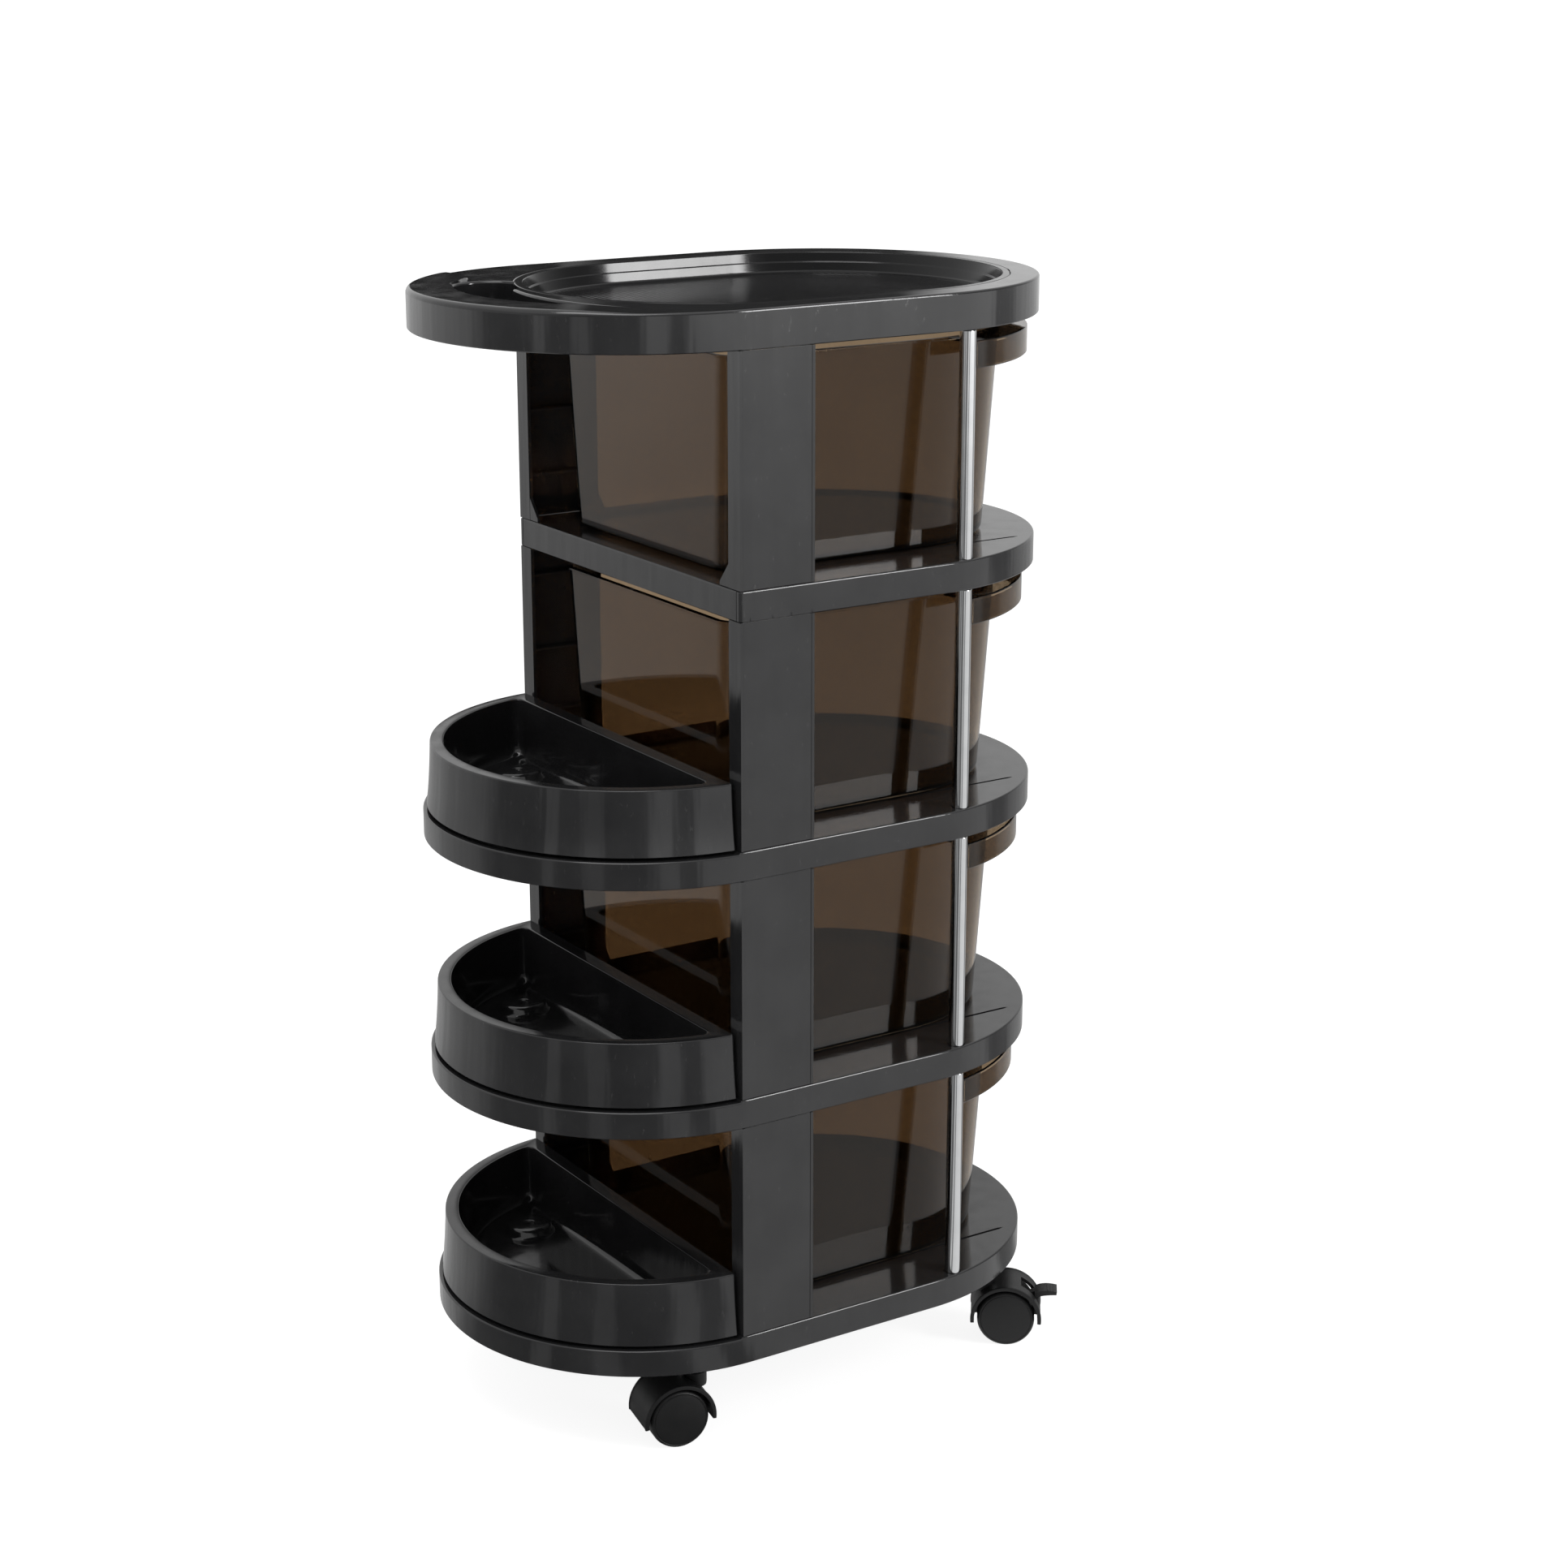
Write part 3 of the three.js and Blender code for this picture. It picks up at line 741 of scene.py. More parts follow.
def cap_edge_ring(angle):
    """One ring of the cap's rounded upper edge, which is rounder along the crest."""
    ring, heights = [], []
    for x, y in stadium(-END_X, END_X, END):
        centre = math.copysign(END_X, x)
        edge = (2.0 + 2.6 * crest_height(x, y) / CREST) * MM
        keep = 1 - edge * (1 - math.cos(angle)) / END
        point = (centre + (x - centre) * keep, y * keep)
        ring.append(point)
        heights.append(CAP_TOP + crest_height(*point) - edge * (1 - math.sin(angle)))
    return ring, heights


def cap_solid():
    """The cap without its hollows, whose top follows the crest in rings."""
    low = 0.8 * MM
    edge_steps = 6
    rings = [(stadium(-END_X, END_X, END - low), CAP_LOW), (stadium(-END_X, END_X, END), CAP_LOW + low)]
    rings += [cap_edge_ring(math.radians(90 / edge_steps * i)) for i in range(edge_steps + 1)]
    for inset in (8, 15, 22, 30, 37.4):
        ring = stadium(-END_X, END_X, END - inset * MM)
        rings.append((ring, [CAP_TOP + crest_height(x, y) for x, y in ring]))
    rings.append((stadium(-END_X, END_X, END - 38.4 * MM), CAP_TOP))
    return loft(rings)


def crossing(first, second):
    """The right-hand one of the two points where two (x, y, radius) circles cross."""
    (x0, y0, r0), (x1, y1, r1) = first, second
    distance = math.dist((x0, y0), (x1, y1))
    along = math.atan2(y1 - y0, x1 - x0)
    spread = math.acos((distance ** 2 + r0 ** 2 - r1 ** 2) / (2 * distance * r0))
    points = [(x0 + r0 * math.cos(a), y0 + r0 * math.sin(a)) for a in (along + spread, along - spread)]
    return min(points, key=lambda point: point[1])


def arc_between(centre, start, end, steps, is_clockwise=False):
    """An arc of an (x, y, radius) circle from one point to another."""
    x, y, radius = centre
    a0 = math.degrees(math.atan2(start[1] - y, start[0] - x))
    a1 = math.degrees(math.atan2(end[1] - y, end[0] - x))
    if is_clockwise:
        a1 -= 360 * (a1 > a0)
    else:
        a1 += 360 * (a1 < a0)
    return arc(x, y, radius, a0, a1, steps)


def grown(circle_line, by):
    x, y, radius = circle_line
    return x, y, radius + by


def pocket_outline(grow):
    """The comma-shaped pocket: an outer arc, a hollowed inner arc and a round deep end."""
    outer = (-END_X, 0, POCKET_OUTER + grow)
    inner = grown(POCKET_INNER, -grow)
    bulb = grown(POCKET_BULB, grow)
    tail = crossing(outer, inner)
    bulb_outer = crossing(outer, bulb)
    bulb_inner = crossing(inner, bulb)
    return closed(
        arc_between(outer, bulb_outer, tail, 60),
        arc_between(inner, tail, bulb_inner, 48, True),
        arc_between(bulb, bulb_inner, bulb_outer, 48),
    )


def pocket_mesh(profile):
    return loft([(pocket_outline(grow * MM), z) for grow, z in profile])


def pocket_hollow():
    """The pocket's inside, with a rounded upper edge and a fillet round its floor."""
    floor = CAP_TOP - POCKET_DEPTH
    return pocket_mesh([
        (-4.5, floor), (-2.4, floor + 0.6 * MM), (-1.1, floor + 2 * MM), (-0.6, floor + 4.5 * MM),
        (-0.3, CAP_TOP - 2.2 * MM), (0, CAP_TOP - 1.2 * MM), (0.6, CAP_TOP - 0.4 * MM), (1.6, CAP_TOP),
        (1.6, CAP_TOP + 8 * MM),
    ])


def under_cap():
    """The space inside the skirt, less the pads and the pocket's own walls."""
    outline = stadium(-END_X, END_X, END - WALL)
    hollow = object_from(loft([(outline, z) for z in (CAP_LOW - MM, CAP_TOP - WALL)]), "hollow")
    floor = CAP_TOP - POCKET_DEPTH
    walls = pocket_mesh([(2.5, floor - 2.5 * MM), (2.5, CAP_TOP)])
    return carve(hollow, support_pads(PILLAR_BACK, CAP_LOW, CAP_TOP), walls)


def tray_seat():
    """The recess for the tray's rim."""
    low = CAP_TOP - SEAT_DROP
    profile = [(0.4, low), (0.4, CAP_TOP - 0.5 * MM), (0.9, CAP_TOP), (0.9, CAP_TOP + 8 * MM)]
    return loft([(stadium(TRAY_LEFT, END_X, TRAY_HALF + grow * MM), z) for grow, z in profile])


def top_cap():
    """A skirted cap with a raised rear edge, a comma-shaped pocket and a well for the tray."""
    thing = object_from(cap_solid(), "top_cap")
    outline = stadium(TRAY_LEFT, END_X, TRAY_HALF - 4 * MM)
    well = loft([(outline, z) for z in (CAP_LOW - MM, CAP_TOP + MM)])
    carve(thing, under_cap(), pocket_hollow(), tray_seat(), well)
    add_piece(smoothed(thing, 40), "root", BLACK, "top_cap")


TRAY_RIB = {"pitch": 5 * MM, "low_half": 1.4 * MM, "top_half": 0.5 * MM, "height": 0.14 * MM}


def tray_ribs(z):
    """Low, fine ribs across the tray's floor."""
    mesh = bmesh.new()
    low, high = z - 0.3 * MM, z + TRAY_RIB["height"]
    reach = TRAY_HALF - 16 * MM
    left = TRAY_LEFT - reach
    for i in range(1, int((END_X + reach - left) / TRAY_RIB["pitch"])):
        x = left + i * TRAY_RIB["pitch"]
        past = max(x - END_X, TRAY_LEFT - x, 0)
        y = math.sqrt(max(reach ** 2 - past ** 2, 0))
        if y < 10 * MM:
            continue
        wide, narrow = TRAY_RIB["low_half"], TRAY_RIB["top_half"]
        profile = [(x - wide, low), (x + wide, low), (x + narrow, high), (x - narrow, high)]
        rows = [[mesh.verts.new((px, end, pz)) for px, pz in profile] for end in (-y, y)]
        closed_skin(mesh, rows)
    return mesh


def tray_insert():
    """A flat rim, a glossy wall in two slanted bands with a ledge between them, and a ribbed floor."""
    profile = [
        (139.5, 906.5), (141, 907.3), (146, 923.5), (150.6, 923.5), (151, 923.9), (151, 925.5),
        (150.5, 926), (145.6, 926), (144.8, 925.8), (144.4, 925.2), (143.1, 918.6), (142.7, 918.0),
        (141.7, 917.8), (141.3, 917.3), (140.2, 911.6), (139.6, 910.3), (138.4, 909.4), (136.6, 909.0),
    ]
    mesh = loft([(stadium(TRAY_LEFT, END_X, half * MM), z * MM) for half, z in profile])
    floor = profile[-1][1] * MM
    thing = fuse(object_from(mesh, "tray_insert"), tray_ribs(floor))
    add_piece(smoothed(thing, 28), "tray", TRAY_BLACK, "tray_insert")


# ---- Drawers ----
DRAWER_BACK = -80 * MM             # at the floor
DRAWER_RAKE = 4 * MM               # how far the back wall leans out at the rim
DRAWER_CENTRE = 101 * MM           # of its round front end
DRAWER_LOW = 123 * MM              # half the width at the floor
DRAWER_HIGH = 134 * MM             # and at the rim
DRAWER_CORNER = 20 * MM
DRAWER_TOP = 170.5 * MM            # above the deck
DRAWER_SKIN = 2.5 * MM
PEG_X = (-60 * MM, -56.5 * MM)     # back and front, clear of the groove's point when fully open
PEG_HALF = 1.2 * MM
PEG_DROP = 1.8 * MM
HANDLE_RADIUS = 166 * MM
HANDLE_HEIGHT = 22 * MM
HANDLE_START = 123.5 * MM          # the X at which the band's ends lie
HANDLE_OPEN = math.degrees(math.acos((HANDLE_START - END_X) / HANDLE_RADIUS))    # half the angle it spans


def drawer_ring(half, inset):
    """A level section of the drawer, whose back leans out as it widens."""
    lean = DRAWER_RAKE * (half - DRAWER_LOW) / (DRAWER_HIGH - DRAWER_LOW)
    return bullet(DRAWER_BACK - lean + inset, DRAWER_CENTRE, half - inset, DRAWER_CORNER - inset)


def drawer_box(floor, top):
    """A thin-walled box, from the floor's fillet up over the rim and down the inside."""
    fillet, steps = 5 * MM, 5
    rounding = []
    for i in range(steps + 1):
        a = math.radians(90 / steps * i)
        rounding.append((fillet * (1 - math.sin(a)), fillet * (1 - math.cos(a))))
    rim = [
        (0, -2.3), (-0.3, -2.0), (-1.6, -2.0), (-2.0, -1.6), (-2.0, -0.4), (-1.6, 0), (2.0, 0), (2.5, -0.5),
    ]
    rings = [(drawer_ring(DRAWER_LOW, inset), floor + rise) for inset, rise in rounding]
    rings += [(drawer_ring(DRAWER_HIGH, inset * MM), top + z * MM) for inset, z in rim]
    for inset, rise in reversed(rounding):
        rings.append((drawer_ring(DRAWER_LOW, DRAWER_SKIN + inset), floor + DRAWER_SKIN + rise))
    return loft(rings)


def swept_about_front(section, half_turn, steps=96):
    """Sweeps a section of (radius, z) points about the front end's centre."""
    mesh = bmesh.new()
    rows = []
    for i in range(steps + 1):
        a = math.radians(half_turn * (2 * i / steps - 1))
        rows.append([mesh.verts.new((END_X + r * math.cos(a), r * math.sin(a), z)) for r, z in section])
    closed_skin(mesh, rows)
    return mesh


def handle_band(top):
    """A half-round band hung from a lip."""
    low = top - HANDLE_HEIGHT
    return swept_about_front([
        (137.6 * MM, top - 1.85 * MM), (137.6 * MM, top - 0.15 * MM), (165.2 * MM, top - 0.15 * MM),
        (165.8 * MM, top - 0.4 * MM), (166 * MM, top - MM), (166 * MM, low + 0.8 * MM), (165.2 * MM, low),
        (164.4 * MM, low), (163.6 * MM, low + 0.8 * MM), (163.6 * MM, top - 1.85 * MM),
    ], HANDLE_OPEN)


def handle_gap(top):
    """A slit inside the band, whose two skins together look darker than one wall."""
    inner, outer = 164.4 * MM, 165.0 * MM
    low, high = top - 20.5 * MM, top - 3 * MM
    return swept_about_front([(inner, low), (outer, low), (outer, high), (inner, high)], HANDLE_OPEN - 1.5)


def handle_ends(top):
    """Blunt upright beads that close the band's ends."""
    mesh = bmesh.new()
    radius = HANDLE_RADIUS - 2 * MM
    for end in (-1, 1):
        a = math.radians(end * (HANDLE_OPEN - 0.7))
        x, y = END_X + radius * math.cos(a), radius * math.sin(a)
        rings = [(1.4, -21.7), (1.9, -21.2), (1.9, -0.8), (1.4, -0.3)]
        loft([(circle(x, y, r * MM, 16), top + z * MM) for r, z in rings], mesh)
    return mesh


def stop_pegs(deck, floor):
    """Pegs under the drawer that run in the deck's grooves."""
    mesh = bmesh.new()
    for side in SIGNS:
        y = side * GROOVE_Y
        block(*PEG_X, y - PEG_HALF, y + PEG_HALF, deck - PEG_DROP, floor + 1.5 * MM, mesh)
    return mesh


def drawer(level):
    """A tinted box with a rim, a handle band round its front end, and stop pegs."""
    deck = deck_z(level)
    floor, top = deck + MM, deck + DRAWER_TOP
    name = f"drawer_{level}"
    thing = object_from(drawer_box(floor, top), name)
    fuse(thing, handle_band(top), handle_ends(top), stop_pegs(deck, floor))
    carve(thing, handle_gap(top))
    add_piece(smoothed(thing, 40), name, SMOKE, name)


# ---- Side bins ----
BIN_FLAT = -103 * MM
BIN_BOSS = (-150 * MM, 96 * MM)    # x and y of the humps in the floor's corners


def bin_profile():
    """(flat's setback, radius, corner, height) from under the bowl, round the skirt and into the basin."""
    under = [(14.5, 151.5, 8, 0.4), (13, 153.5, 8, 1.5), (11.5, 156, 8, 5.5), (10.6, 159.2, 8, 50.5)]
    skirt = [
        (3, 165.2, 4, 51.2), (2.5, 169.3, 2.5, 2.0), (2, 170, 2.5, 1.4), (0.4, 171.6, 2, 1.4),
        (0, 172, 1.8, 1.8), (0, 170.7, 1.8, 12), (0, 169.5, 1.8, 26), (0, 168.5, 1.8, 42),
        (0, 168, 1.8, 52.8),
    ]
    rim = [
        (0.3, 167.7, 1.7, 53.6), (1, 167, 1.6, 54), (12, 158.0, 7, 54), (12.9, 157.1, 7, 53.6),
        (13.3, 156.7, 7, 52.7),
    ]
    basin = [
        (13.8, 155.4, 7, 30), (14.4, 154.4, 7.3, 14), (15.4, 153.2, 8, 8.5), (17, 151.4, 9, 5.2),
        (20, 148.4, 9, 3.6), (24, 144.4, 9, 3.0),
    ]
    return under + skirt + rim + basin


def bin_bosses(deck):
    mesh = bmesh.new()
    profile = [
        (24, 2.4), (22, 3.4), (20.4, 5.2), (19, 8.4), (17.6, 9.6), (15, 10), (6, 10.2), (5, 9.8),
        (4.4, 8.6),
    ]
    x, y = BIN_BOSS
    for side in SIGNS:
        loft([(circle(x, side * y, radius * MM, 40), deck + z * MM) for radius, z in profile], mesh)
    return mesh


def side_bin(level):
    """A D-shaped bowl inside a leaning skirt, with a hump in each corner of its floor."""
    deck = deck_z(level)
    name = f"side_bin_{level}"
    rings = [
        (half_disc(BIN_FLAT - back * MM, radius * MM, corner * MM), deck + z * MM)
        for back, radius, corner, z in bin_profile()
    ]
    thing = fuse(object_from(loft(rings), name), bin_bosses(deck))
    add_piece(smoothed(thing, 40), f"bin_{level}", BLACK, name)


# ---- Casters, each built with its stem on the Z axis and its wheels trailing towards +X ----
AXLE_BORE = 3.1 * MM
HOOD_START = -6                    # angle of the hood's lower edge at the front, in degrees
HOOD_SPAN = 192
# Boxes as (x0, x1, y0, y1, z0, z1): the slot in the hood for a lever, and where the lever is wide.
BRAKE_SLOT = (33 * MM, 70 * MM, -9 * MM, 9 * MM, 34 * MM, 62 * MM)
PADDLE_BOX = (45 * MM, 70 * MM, -9 * MM, 9 * MM, 30 * MM, 60 * MM)


def side_slab(points, half, mesh=None):
    """An outline drawn in X and Z, spread to both sides of Y = 0."""
    mesh = mesh or bmesh.new()
    rows = [[mesh.verts.new((x, y, z)) for x, z in points] for y in (-half, half)]
    closed_skin(mesh, rows)
    return mesh


def hood_shell():
    """The curved cover, with a bead along each edge."""
    section = [
        (-21.5, 27.7), (-21.5, 29.8), (-21.2, 30.6), (-20.5, 31), (-19.4, 31), (-18.8, 30.5), (18.8, 30.5),
        (19.4, 31), (20.5, 31), (21.2, 30.6), (21.5, 29.8), (21.5, 27.7),
    ]
    mesh = bmesh.new()
    rows = []
    steps = 64
    for i in range(steps + 1):
        a = math.radians(HOOD_START + HOOD_SPAN * i / steps)
        across, up = math.cos(a), math.sin(a)
        rows.append([
            mesh.verts.new((TRAIL + r * MM * across, y * MM, WHEEL_RADIUS + r * MM * up))
            for y, r in section
        ])
    closed_skin(mesh, rows)
    return mesh


def placed(thing, caster):
    """Turns a piece built about the Z axis to its caster's direction and moves it to its stem."""
    x, y, trail, _ = CASTERS[caster]
    thing.data.transform(Matrix.Translation((x, y, 0)) @ Matrix.Rotation(math.radians(trail), 4, "Z"))
    return thing


def hood(caster):
    """The curved cover with a middle web, a hub for the axle and a socket for the stem."""
    name = f"caster_hood_{caster}"
    thing = object_from(hood_shell(), name)
    axle = (TRAIL, WHEEL_RADIUS)
    web = closed([axle], arc(*axle, 28.5 * MM, -5, 185, 48))
    hub = circle(*axle, 8 * MM, 32)
    boss = loft([
        (circle(0, 0, radius * MM, 48), z * MM)
        for radius, z in ((9.2, 46), (9.5, 48), (9.5, 56.8), (9.2, 57.6), (8.4, 58))
    ])
    fuse(thing, side_slab(web, 3 * MM), side_slab(hub, 3.2 * MM), boss)
    cuts = [side_slab(circle(*axle, AXLE_BORE, 24), 30 * MM), rod(0, 0, STEM_BORE, 51 * MM, 60 * MM)]
    if CASTERS[caster][3]:
        cuts.append(block(*BRAKE_SLOT))
    carve(thing, *cuts)
    add_piece(smoothed(placed(thing, caster), 35), f"caster_{caster}", CASTER, name)


def wheel(caster, half, side):
    """A twin wheel's half: a grooved tread, a rounded shoulder and a slightly domed disc."""
    profile = [
        (0, 18.2), (3.1, 18.2), (3.1, 4.2), (21.6, 4.2), (23.6, 4.6), (24.7, 5.6), (25, 6.8), (25, 9.6),
        (24.7, 9.8), (24.7, 10.6), (25, 10.8), (25, 14.0), (24.7, 14.2), (24.7, 15.0), (25, 15.2),
        (25, 16.6), (24.6, 17.9), (23.7, 18.9), (22.9, 19.3), (22.4, 19.0), (22.0, 19.0), (21.6, 19.5),
        (20, 19.9), (16, 20.4), (11, 20.8), (6, 21.1), (0, 21.2),
    ]
    mesh = turned([(r * MM, z * MM) for r, z in profile], 72)
    mesh.transform(Matrix.Rotation(math.radians(-90 * side), 4, "X"))
    mesh.transform(Matrix.Translation((TRAIL, 0, WHEEL_RADIUS)))
    name = f"caster_wheel_{caster}_{half}"
    thing = placed(object_from(mesh, name), caster)
    add_piece(smoothed(thing, 30), f"wheel_{caster}_{half}", CASTER, name)


def stem(caster):
    """The plated stem with its washer, chamfered at both ends."""
    profile = [
        (0, 51.5), (4.3, 51.5), (5, 52.2), (5, 58.3), (8.1, 58.3), (8.5, 58.7), (8.5, 60.4), (8.1, 60.8),
        (5, 60.8), (5, 88.4), (3.9, 89.5), (0, 89.5),
    ]
    name = f"caster_stem_{caster}"
    thing = placed(object_from(turned([(r * MM, z * MM) for r, z in profile], 48), name), caster)
    add_piece(smoothed(thing, 30), "root", CHROME, name)


def catmull_rom(a, b, c, d, t):
    """The value at `t` on the way from b to c, between neighbours a and d."""
    bend = 2 * a - 5 * b + 4 * c - d
    return 0.5 * (2 * b + (c - a) * t + bend * t * t + (3 * b - a - 3 * c + d) * t ** 3)


def curve_through(points, steps=5):
    """A smooth line through given points."""
    ends = [points[0], *points, points[-1]]
    line = []
    for stretch in zip(ends, ends[1:], ends[2:], ends[3:]):
        for i in range(steps):
            line.append(tuple(catmull_rom(*values, i / steps) for values in zip(*stretch)))
    return line + [points[-1]]


def paddle_ridges():
    """Grip ridges across the paddle's tip."""
    mesh = bmesh.new()
    for x in (56, 58.5, 61):
        z = 48 - 0.13 * (x - 57)
        points = [(x - 0.7, z - 1.2), (x + 0.7, z - 1.2), (x + 0.4, z + 0.25), (x - 0.4, z + 0.25)]
        side_slab([(px * MM, pz * MM) for px, pz in points], 7 * MM, mesh)
    return mesh


def brake_lever(caster):
    """A narrow arm that widens to a curled paddle with grip ridges across its tip."""
    below = [(36, 36), (42, 37.5), (49, 42), (56, 43.5), (64, 44)]
    above = [(64.4, 47), (57, 48), (50, 47.4), (44, 45), (37, 42.4), (34.6, 39.5)]
    line = [(x * MM, z * MM) for x, z in curve_through(below) + curve_through(above)]
    name = f"brake_lever_{caster}"
    thing = object_from(side_slab(line, 3.6 * MM), name)
    paddle = object_from(side_slab(line, 8 * MM), "paddle")
    combined(paddle, "INTERSECT", [block(*PADDLE_BOX)])
    fuse(thing, paddle, paddle_ridges())
    bevelled(thing, 0.5 * MM, 2, 40)
    add_piece(smoothed(placed(thing, caster)), f"brake_{caster}", CASTER, name)


# ---- Building ----
def build_trolley():
    top_cap()
    tray_insert()
    for level in LEVELS:
        shelf(level)
        drawer(level)
        if level > 1:
            side_bin(level)
        for name, side in SIDES:
            pillar(level, name, side)
            tube(level, name, side)
    for caster, (_, _, _, has_brake) in CASTERS.items():
        stem(caster)
        hood(caster)
        wheel(caster, "a", 1)
        wheel(caster, "b", -1)
        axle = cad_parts[f"caster_axle_{caster}"]
        axle.data.materials.clear()
        axle.data.materials.append(STEEL)
        if has_brake:
            brake_lever(caster)


# ---- Studio ----
# What the floor and the walls show in reflections, as (degrees from +X towards +Y, brightness).
FLOOR_SECTORS = [
    (-180, 0.16), (-172, 0.18), (-170, 0.50), (-165, 0.50), (-163, 0.16), (-150, 0.20), (-148, 0.42),
    (-141, 0.42), (-139, 0.14), (-118, 0.18), (-112, 0.70), (-104, 0.70), (-101, 0.25), (-94, 0.25),
    (-90, 0.80), (-58, 0.90), (-24, 0.90), (-19, 0.28), (-6, 0.28), (-1, 0.50), (45, 0.45), (70, 0.40),
    (95, 0.50), (105, 0.62), (150, 0.60), (165, 0.20), (180, 0.16),
]
WALL_SECTORS = [
    (-180, 0.6), (-140, 0.3), (-120, 0.25), (-20, 0.25), (10, 0.5), (30, 1.0), (54.2, 1.0), (54.6, 0.03),
    (61.6, 0.03), (62.4, 1.0), (100, 1.0), (150, 0.8), (180, 0.6),
]
FLOOR_HALF = 150                   # half the floor's side
HEAD_HEIGHT = (0.44, 0.56)         # rise of a unit sight line over which the dim stretches end
FLOOR_WASH = 0.7                   # how far the floor is washed out to white for the camera


def direction_brightness(node, sectors, point):
    """Brightness by the direction in which a point lies about the Z axis."""
    parts = node("ShaderNodeSeparateXYZ", {0: point}).node.outputs
    turn = node("ShaderNodeMath", {0: parts["Y"], 1: parts["X"]}, operation="ARCTAN2")
    share = remapped(node, turn, (-math.pi, math.pi), (0.0, 1.0))
    curve = node("ShaderNodeFloatCurve", {"Value": share}).node
    stops = curve.mapping.curves[0].points
    for index, (degrees, value) in enumerate(sectors):
        place = ((degrees + 180) / 360, value)
        if index in (0, len(sectors) - 1):
            stops[0 if index == 0 else len(stops) - 1].location = place
        else:
            stops.new(*place)
    for stop in stops:
        stop.handle_type = "VECTOR"
    curve.mapping.update()
    return curve.outputs[0]


def is_reflection(node):
    """1 for glossy reflections, and 0 for sight lines, diffuse light and what shows through plastic."""
    path = node("ShaderNodeLightPath").node.outputs
    rays = {0: path["Is Glossy Ray"], 1: path["Is Transmission Ray"]}
    return node("ShaderNodeMath", rays, operation="SUBTRACT", use_clamp=True)


def floor_material():
    """White matt vinyl, which shows darker stretches of the studio only in glossy reflections."""
    material, shader, node, link = new_material("floor")
    cloud = noise(node, 3, 2.0)
    link(mixed(node, cloud, (0.90, 0.90, 0.90), (0.92, 0.92, 0.92)), "Base Color")
    shader.inputs["Roughness"].default_value = 0.9
    shader.inputs["Specular IOR Level"].default_value = 0.0
    shader.inputs["Emission Color"].default_value = (1, 1, 1, 1)
    shader.inputs["Emission Strength"].default_value = 0.36
    place = node("ShaderNodeNewGeometry").node.outputs["Position"]
    away = node("ShaderNodeVectorMath", {0: place}, operation="LENGTH").node.outputs["Value"]
    growth = remapped(node, away, (3.0, 8.0), (0.95, 1.7))
    sectors = direction_brightness(node, FLOOR_SECTORS, place)
    reflected = node("ShaderNodeEmission", {"Color": sectors, "Strength": growth})
    chosen = node("ShaderNodeMixShader", {0: is_reflection(node), 1: shader.outputs[0], 2: reflected})
    is_camera = node("ShaderNodeLightPath").node.outputs["Is Camera Ray"]
    share = node("ShaderNodeMath", {0: is_camera, 1: FLOOR_WASH}, operation="MULTIPLY")
    bright = node("ShaderNodeEmission", {"Color": (1, 1, 1, 1), "Strength": 1.1})
    washed = node("ShaderNodeMixShader", {0: share, 1: chosen, 2: bright})
    tree = material.node_tree
    tree.links.new(washed, tree.nodes["Material Output"].inputs["Surface"])
    return material


def studio_floor():
    corners = rectangle(-FLOOR_HALF, FLOOR_HALF, -FLOOR_HALF, FLOOR_HALF)
    mesh = bmesh.new()
    mesh.faces.new([mesh.verts.new((x, y, 0)) for x, y in corners])
    thing = object_from(mesh, "studio_floor")
    thing.data.materials.append(floor_material())


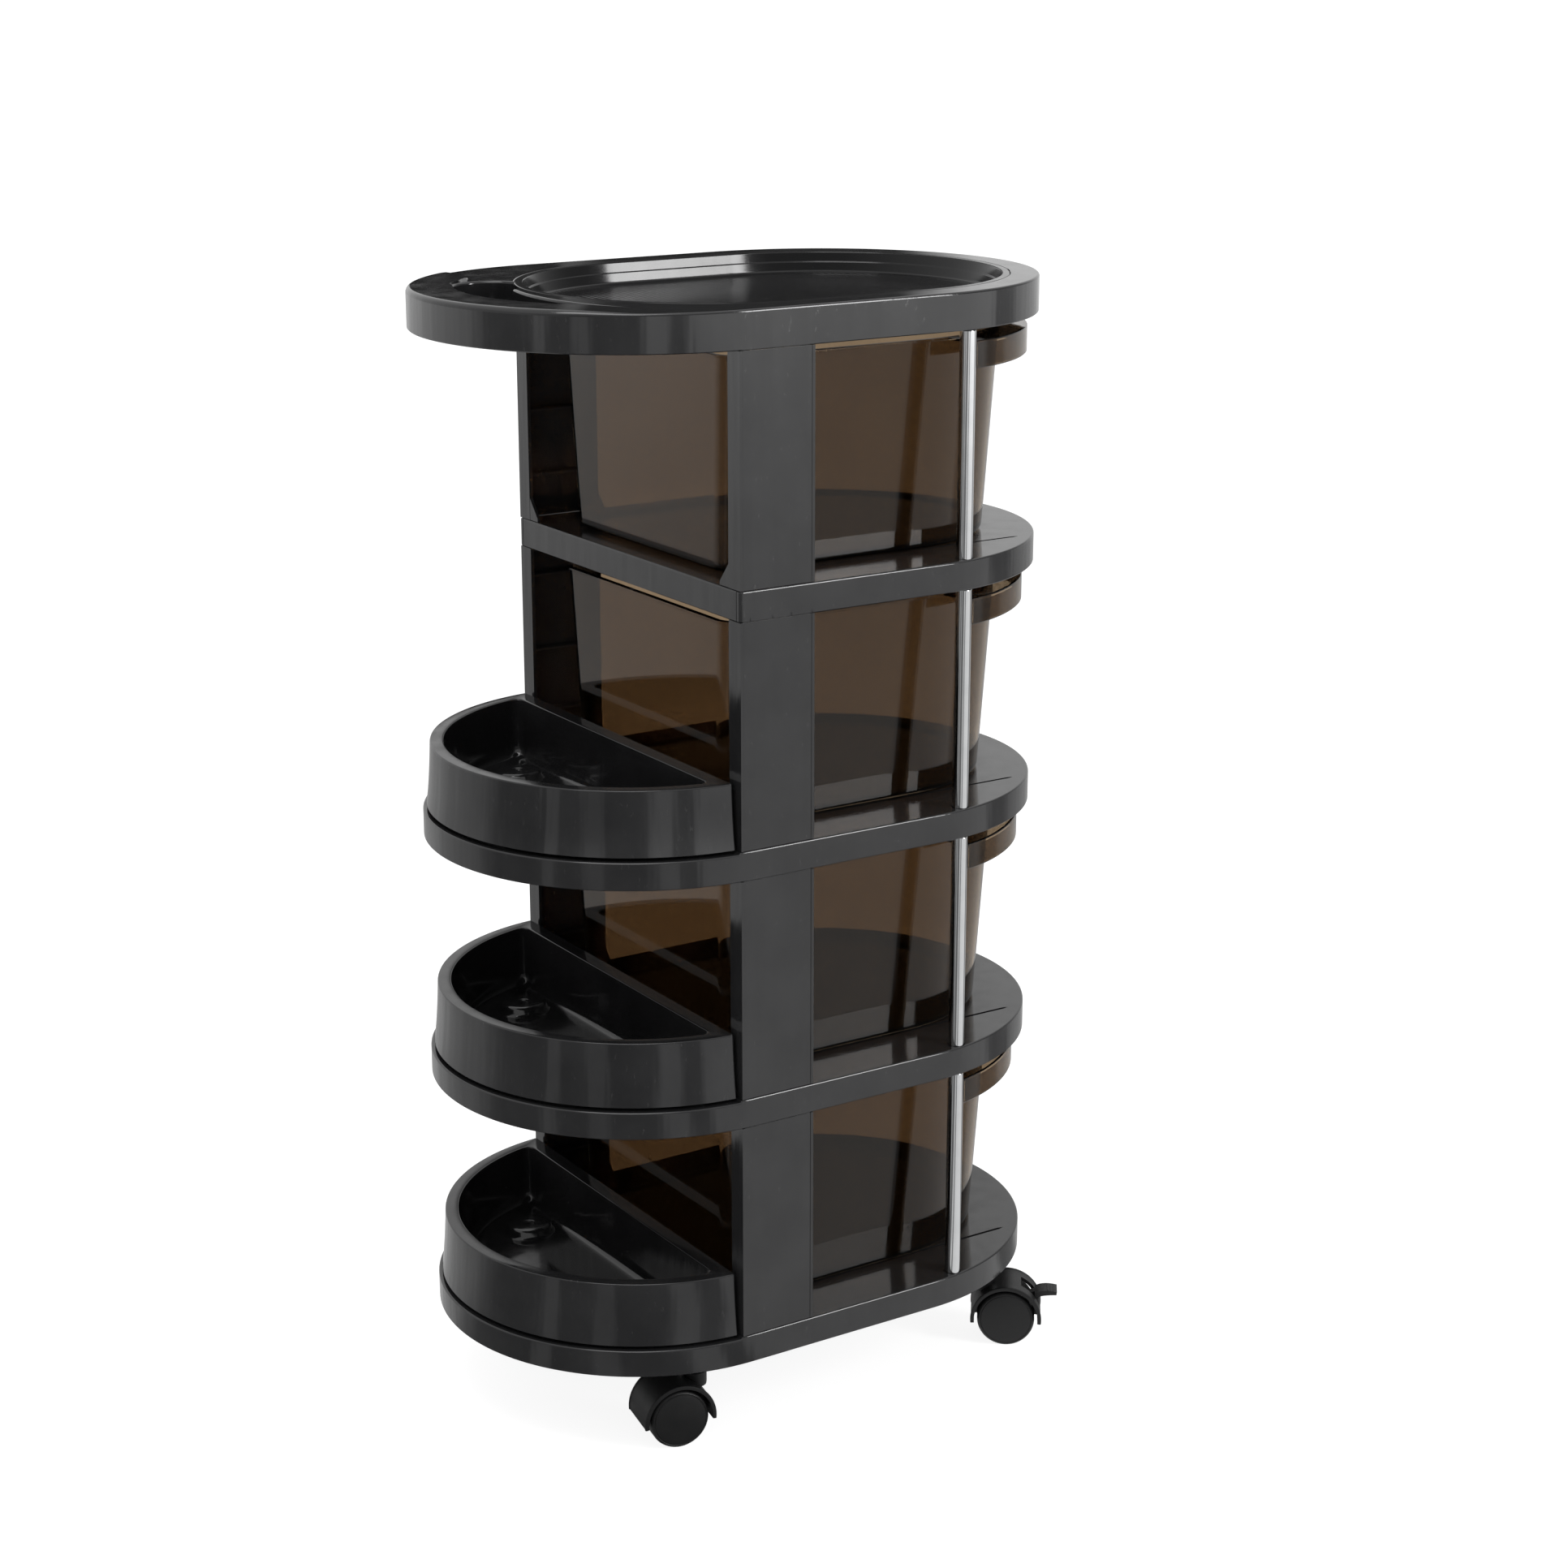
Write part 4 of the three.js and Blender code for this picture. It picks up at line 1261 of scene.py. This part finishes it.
def studio_world():
    """Even, bright light, and walls with dim stretches up to head height that show in reflections."""
    world = bpy.data.worlds.new("studio")
    bpy.context.scene.world = world
    world.use_nodes = True
    tree = world.node_tree
    node = node_maker(tree)
    background = tree.nodes["Background"]
    background.inputs["Strength"].default_value = 0.85
    towards = node("ShaderNodeTexCoord").node.outputs["Generated"]
    height = node("ShaderNodeSeparateXYZ", {0: towards}).node.outputs["Z"]
    above = remapped(node, height, HEAD_HEIGHT, (0.0, 1.0), "SMOOTHSTEP")
    walls = direction_brightness(node, WALL_SECTORS, towards)
    upper = node("ShaderNodeMath", {0: walls, 1: above}, operation="MAXIMUM")
    seen = node("ShaderNodeMix", {0: is_reflection(node), 2: 1.0, 3: upper})
    tree.links.new(seen, background.inputs["Color"])


def aim(thing, location, target):
    """Places a thing and turns its -Z side to the target."""
    thing.location = location
    thing.rotation_euler = (Vector(target) - Vector(location)).to_track_quat("-Z", "Y").to_euler()


def softbox(name, location, target, size, power):
    data = bpy.data.lights.new(name, "AREA")
    data.shape = "RECTANGLE"
    data.size, data.size_y = size
    data.energy = power
    aim(new_object(name, data), location, target)


def flag(name, location, target, size):
    """A black card that is seen only in glossy reflections."""
    half_width, half_height = size[0] / 2, size[1] / 2
    card = object_from(block(-half_width, half_width, -half_height, half_height, 0, MM), name)
    aim(card, location, target)
    material, shader, _, _ = new_material(name)
    shader.inputs["Base Color"].default_value = (0.004, 0.004, 0.004, 1)
    shader.inputs["Roughness"].default_value = 0.9
    card.data.materials.append(material)
    for kind in ("camera", "diffuse", "transmission", "volume_scatter", "shadow"):
        setattr(card, f"visible_{kind}", False)


def studio():
    studio_floor()
    studio_world()
    middle = (0, 0, 0.45)
    softbox("key", (1.7, -2.7, 1.7), middle, (0.7, 1.9), 60)
    softbox("overhead", (-0.8, -0.6, 3.2), middle, (1.6, 1.6), 30)
    flag("flag", (2.80, 6.31, 1.1), (-1.28, -2.05, 1.1), (0.9, 2.2))


def camera():
    data = bpy.data.cameras.new("camera")
    data.sensor_width = 36
    data.lens = 69.235
    data.clip_end = 500
    thing = new_object("camera", data)
    thing.location = (-1.2769, -2.0519, 1.2054)
    thing.rotation_euler = [math.radians(a) for a in (73.88, 0, -32.93)]
    bpy.context.scene.camera = thing


camera()
studio()
build_trolley()
scene = bpy.context.scene
scene.view_settings.view_transform = "Standard"
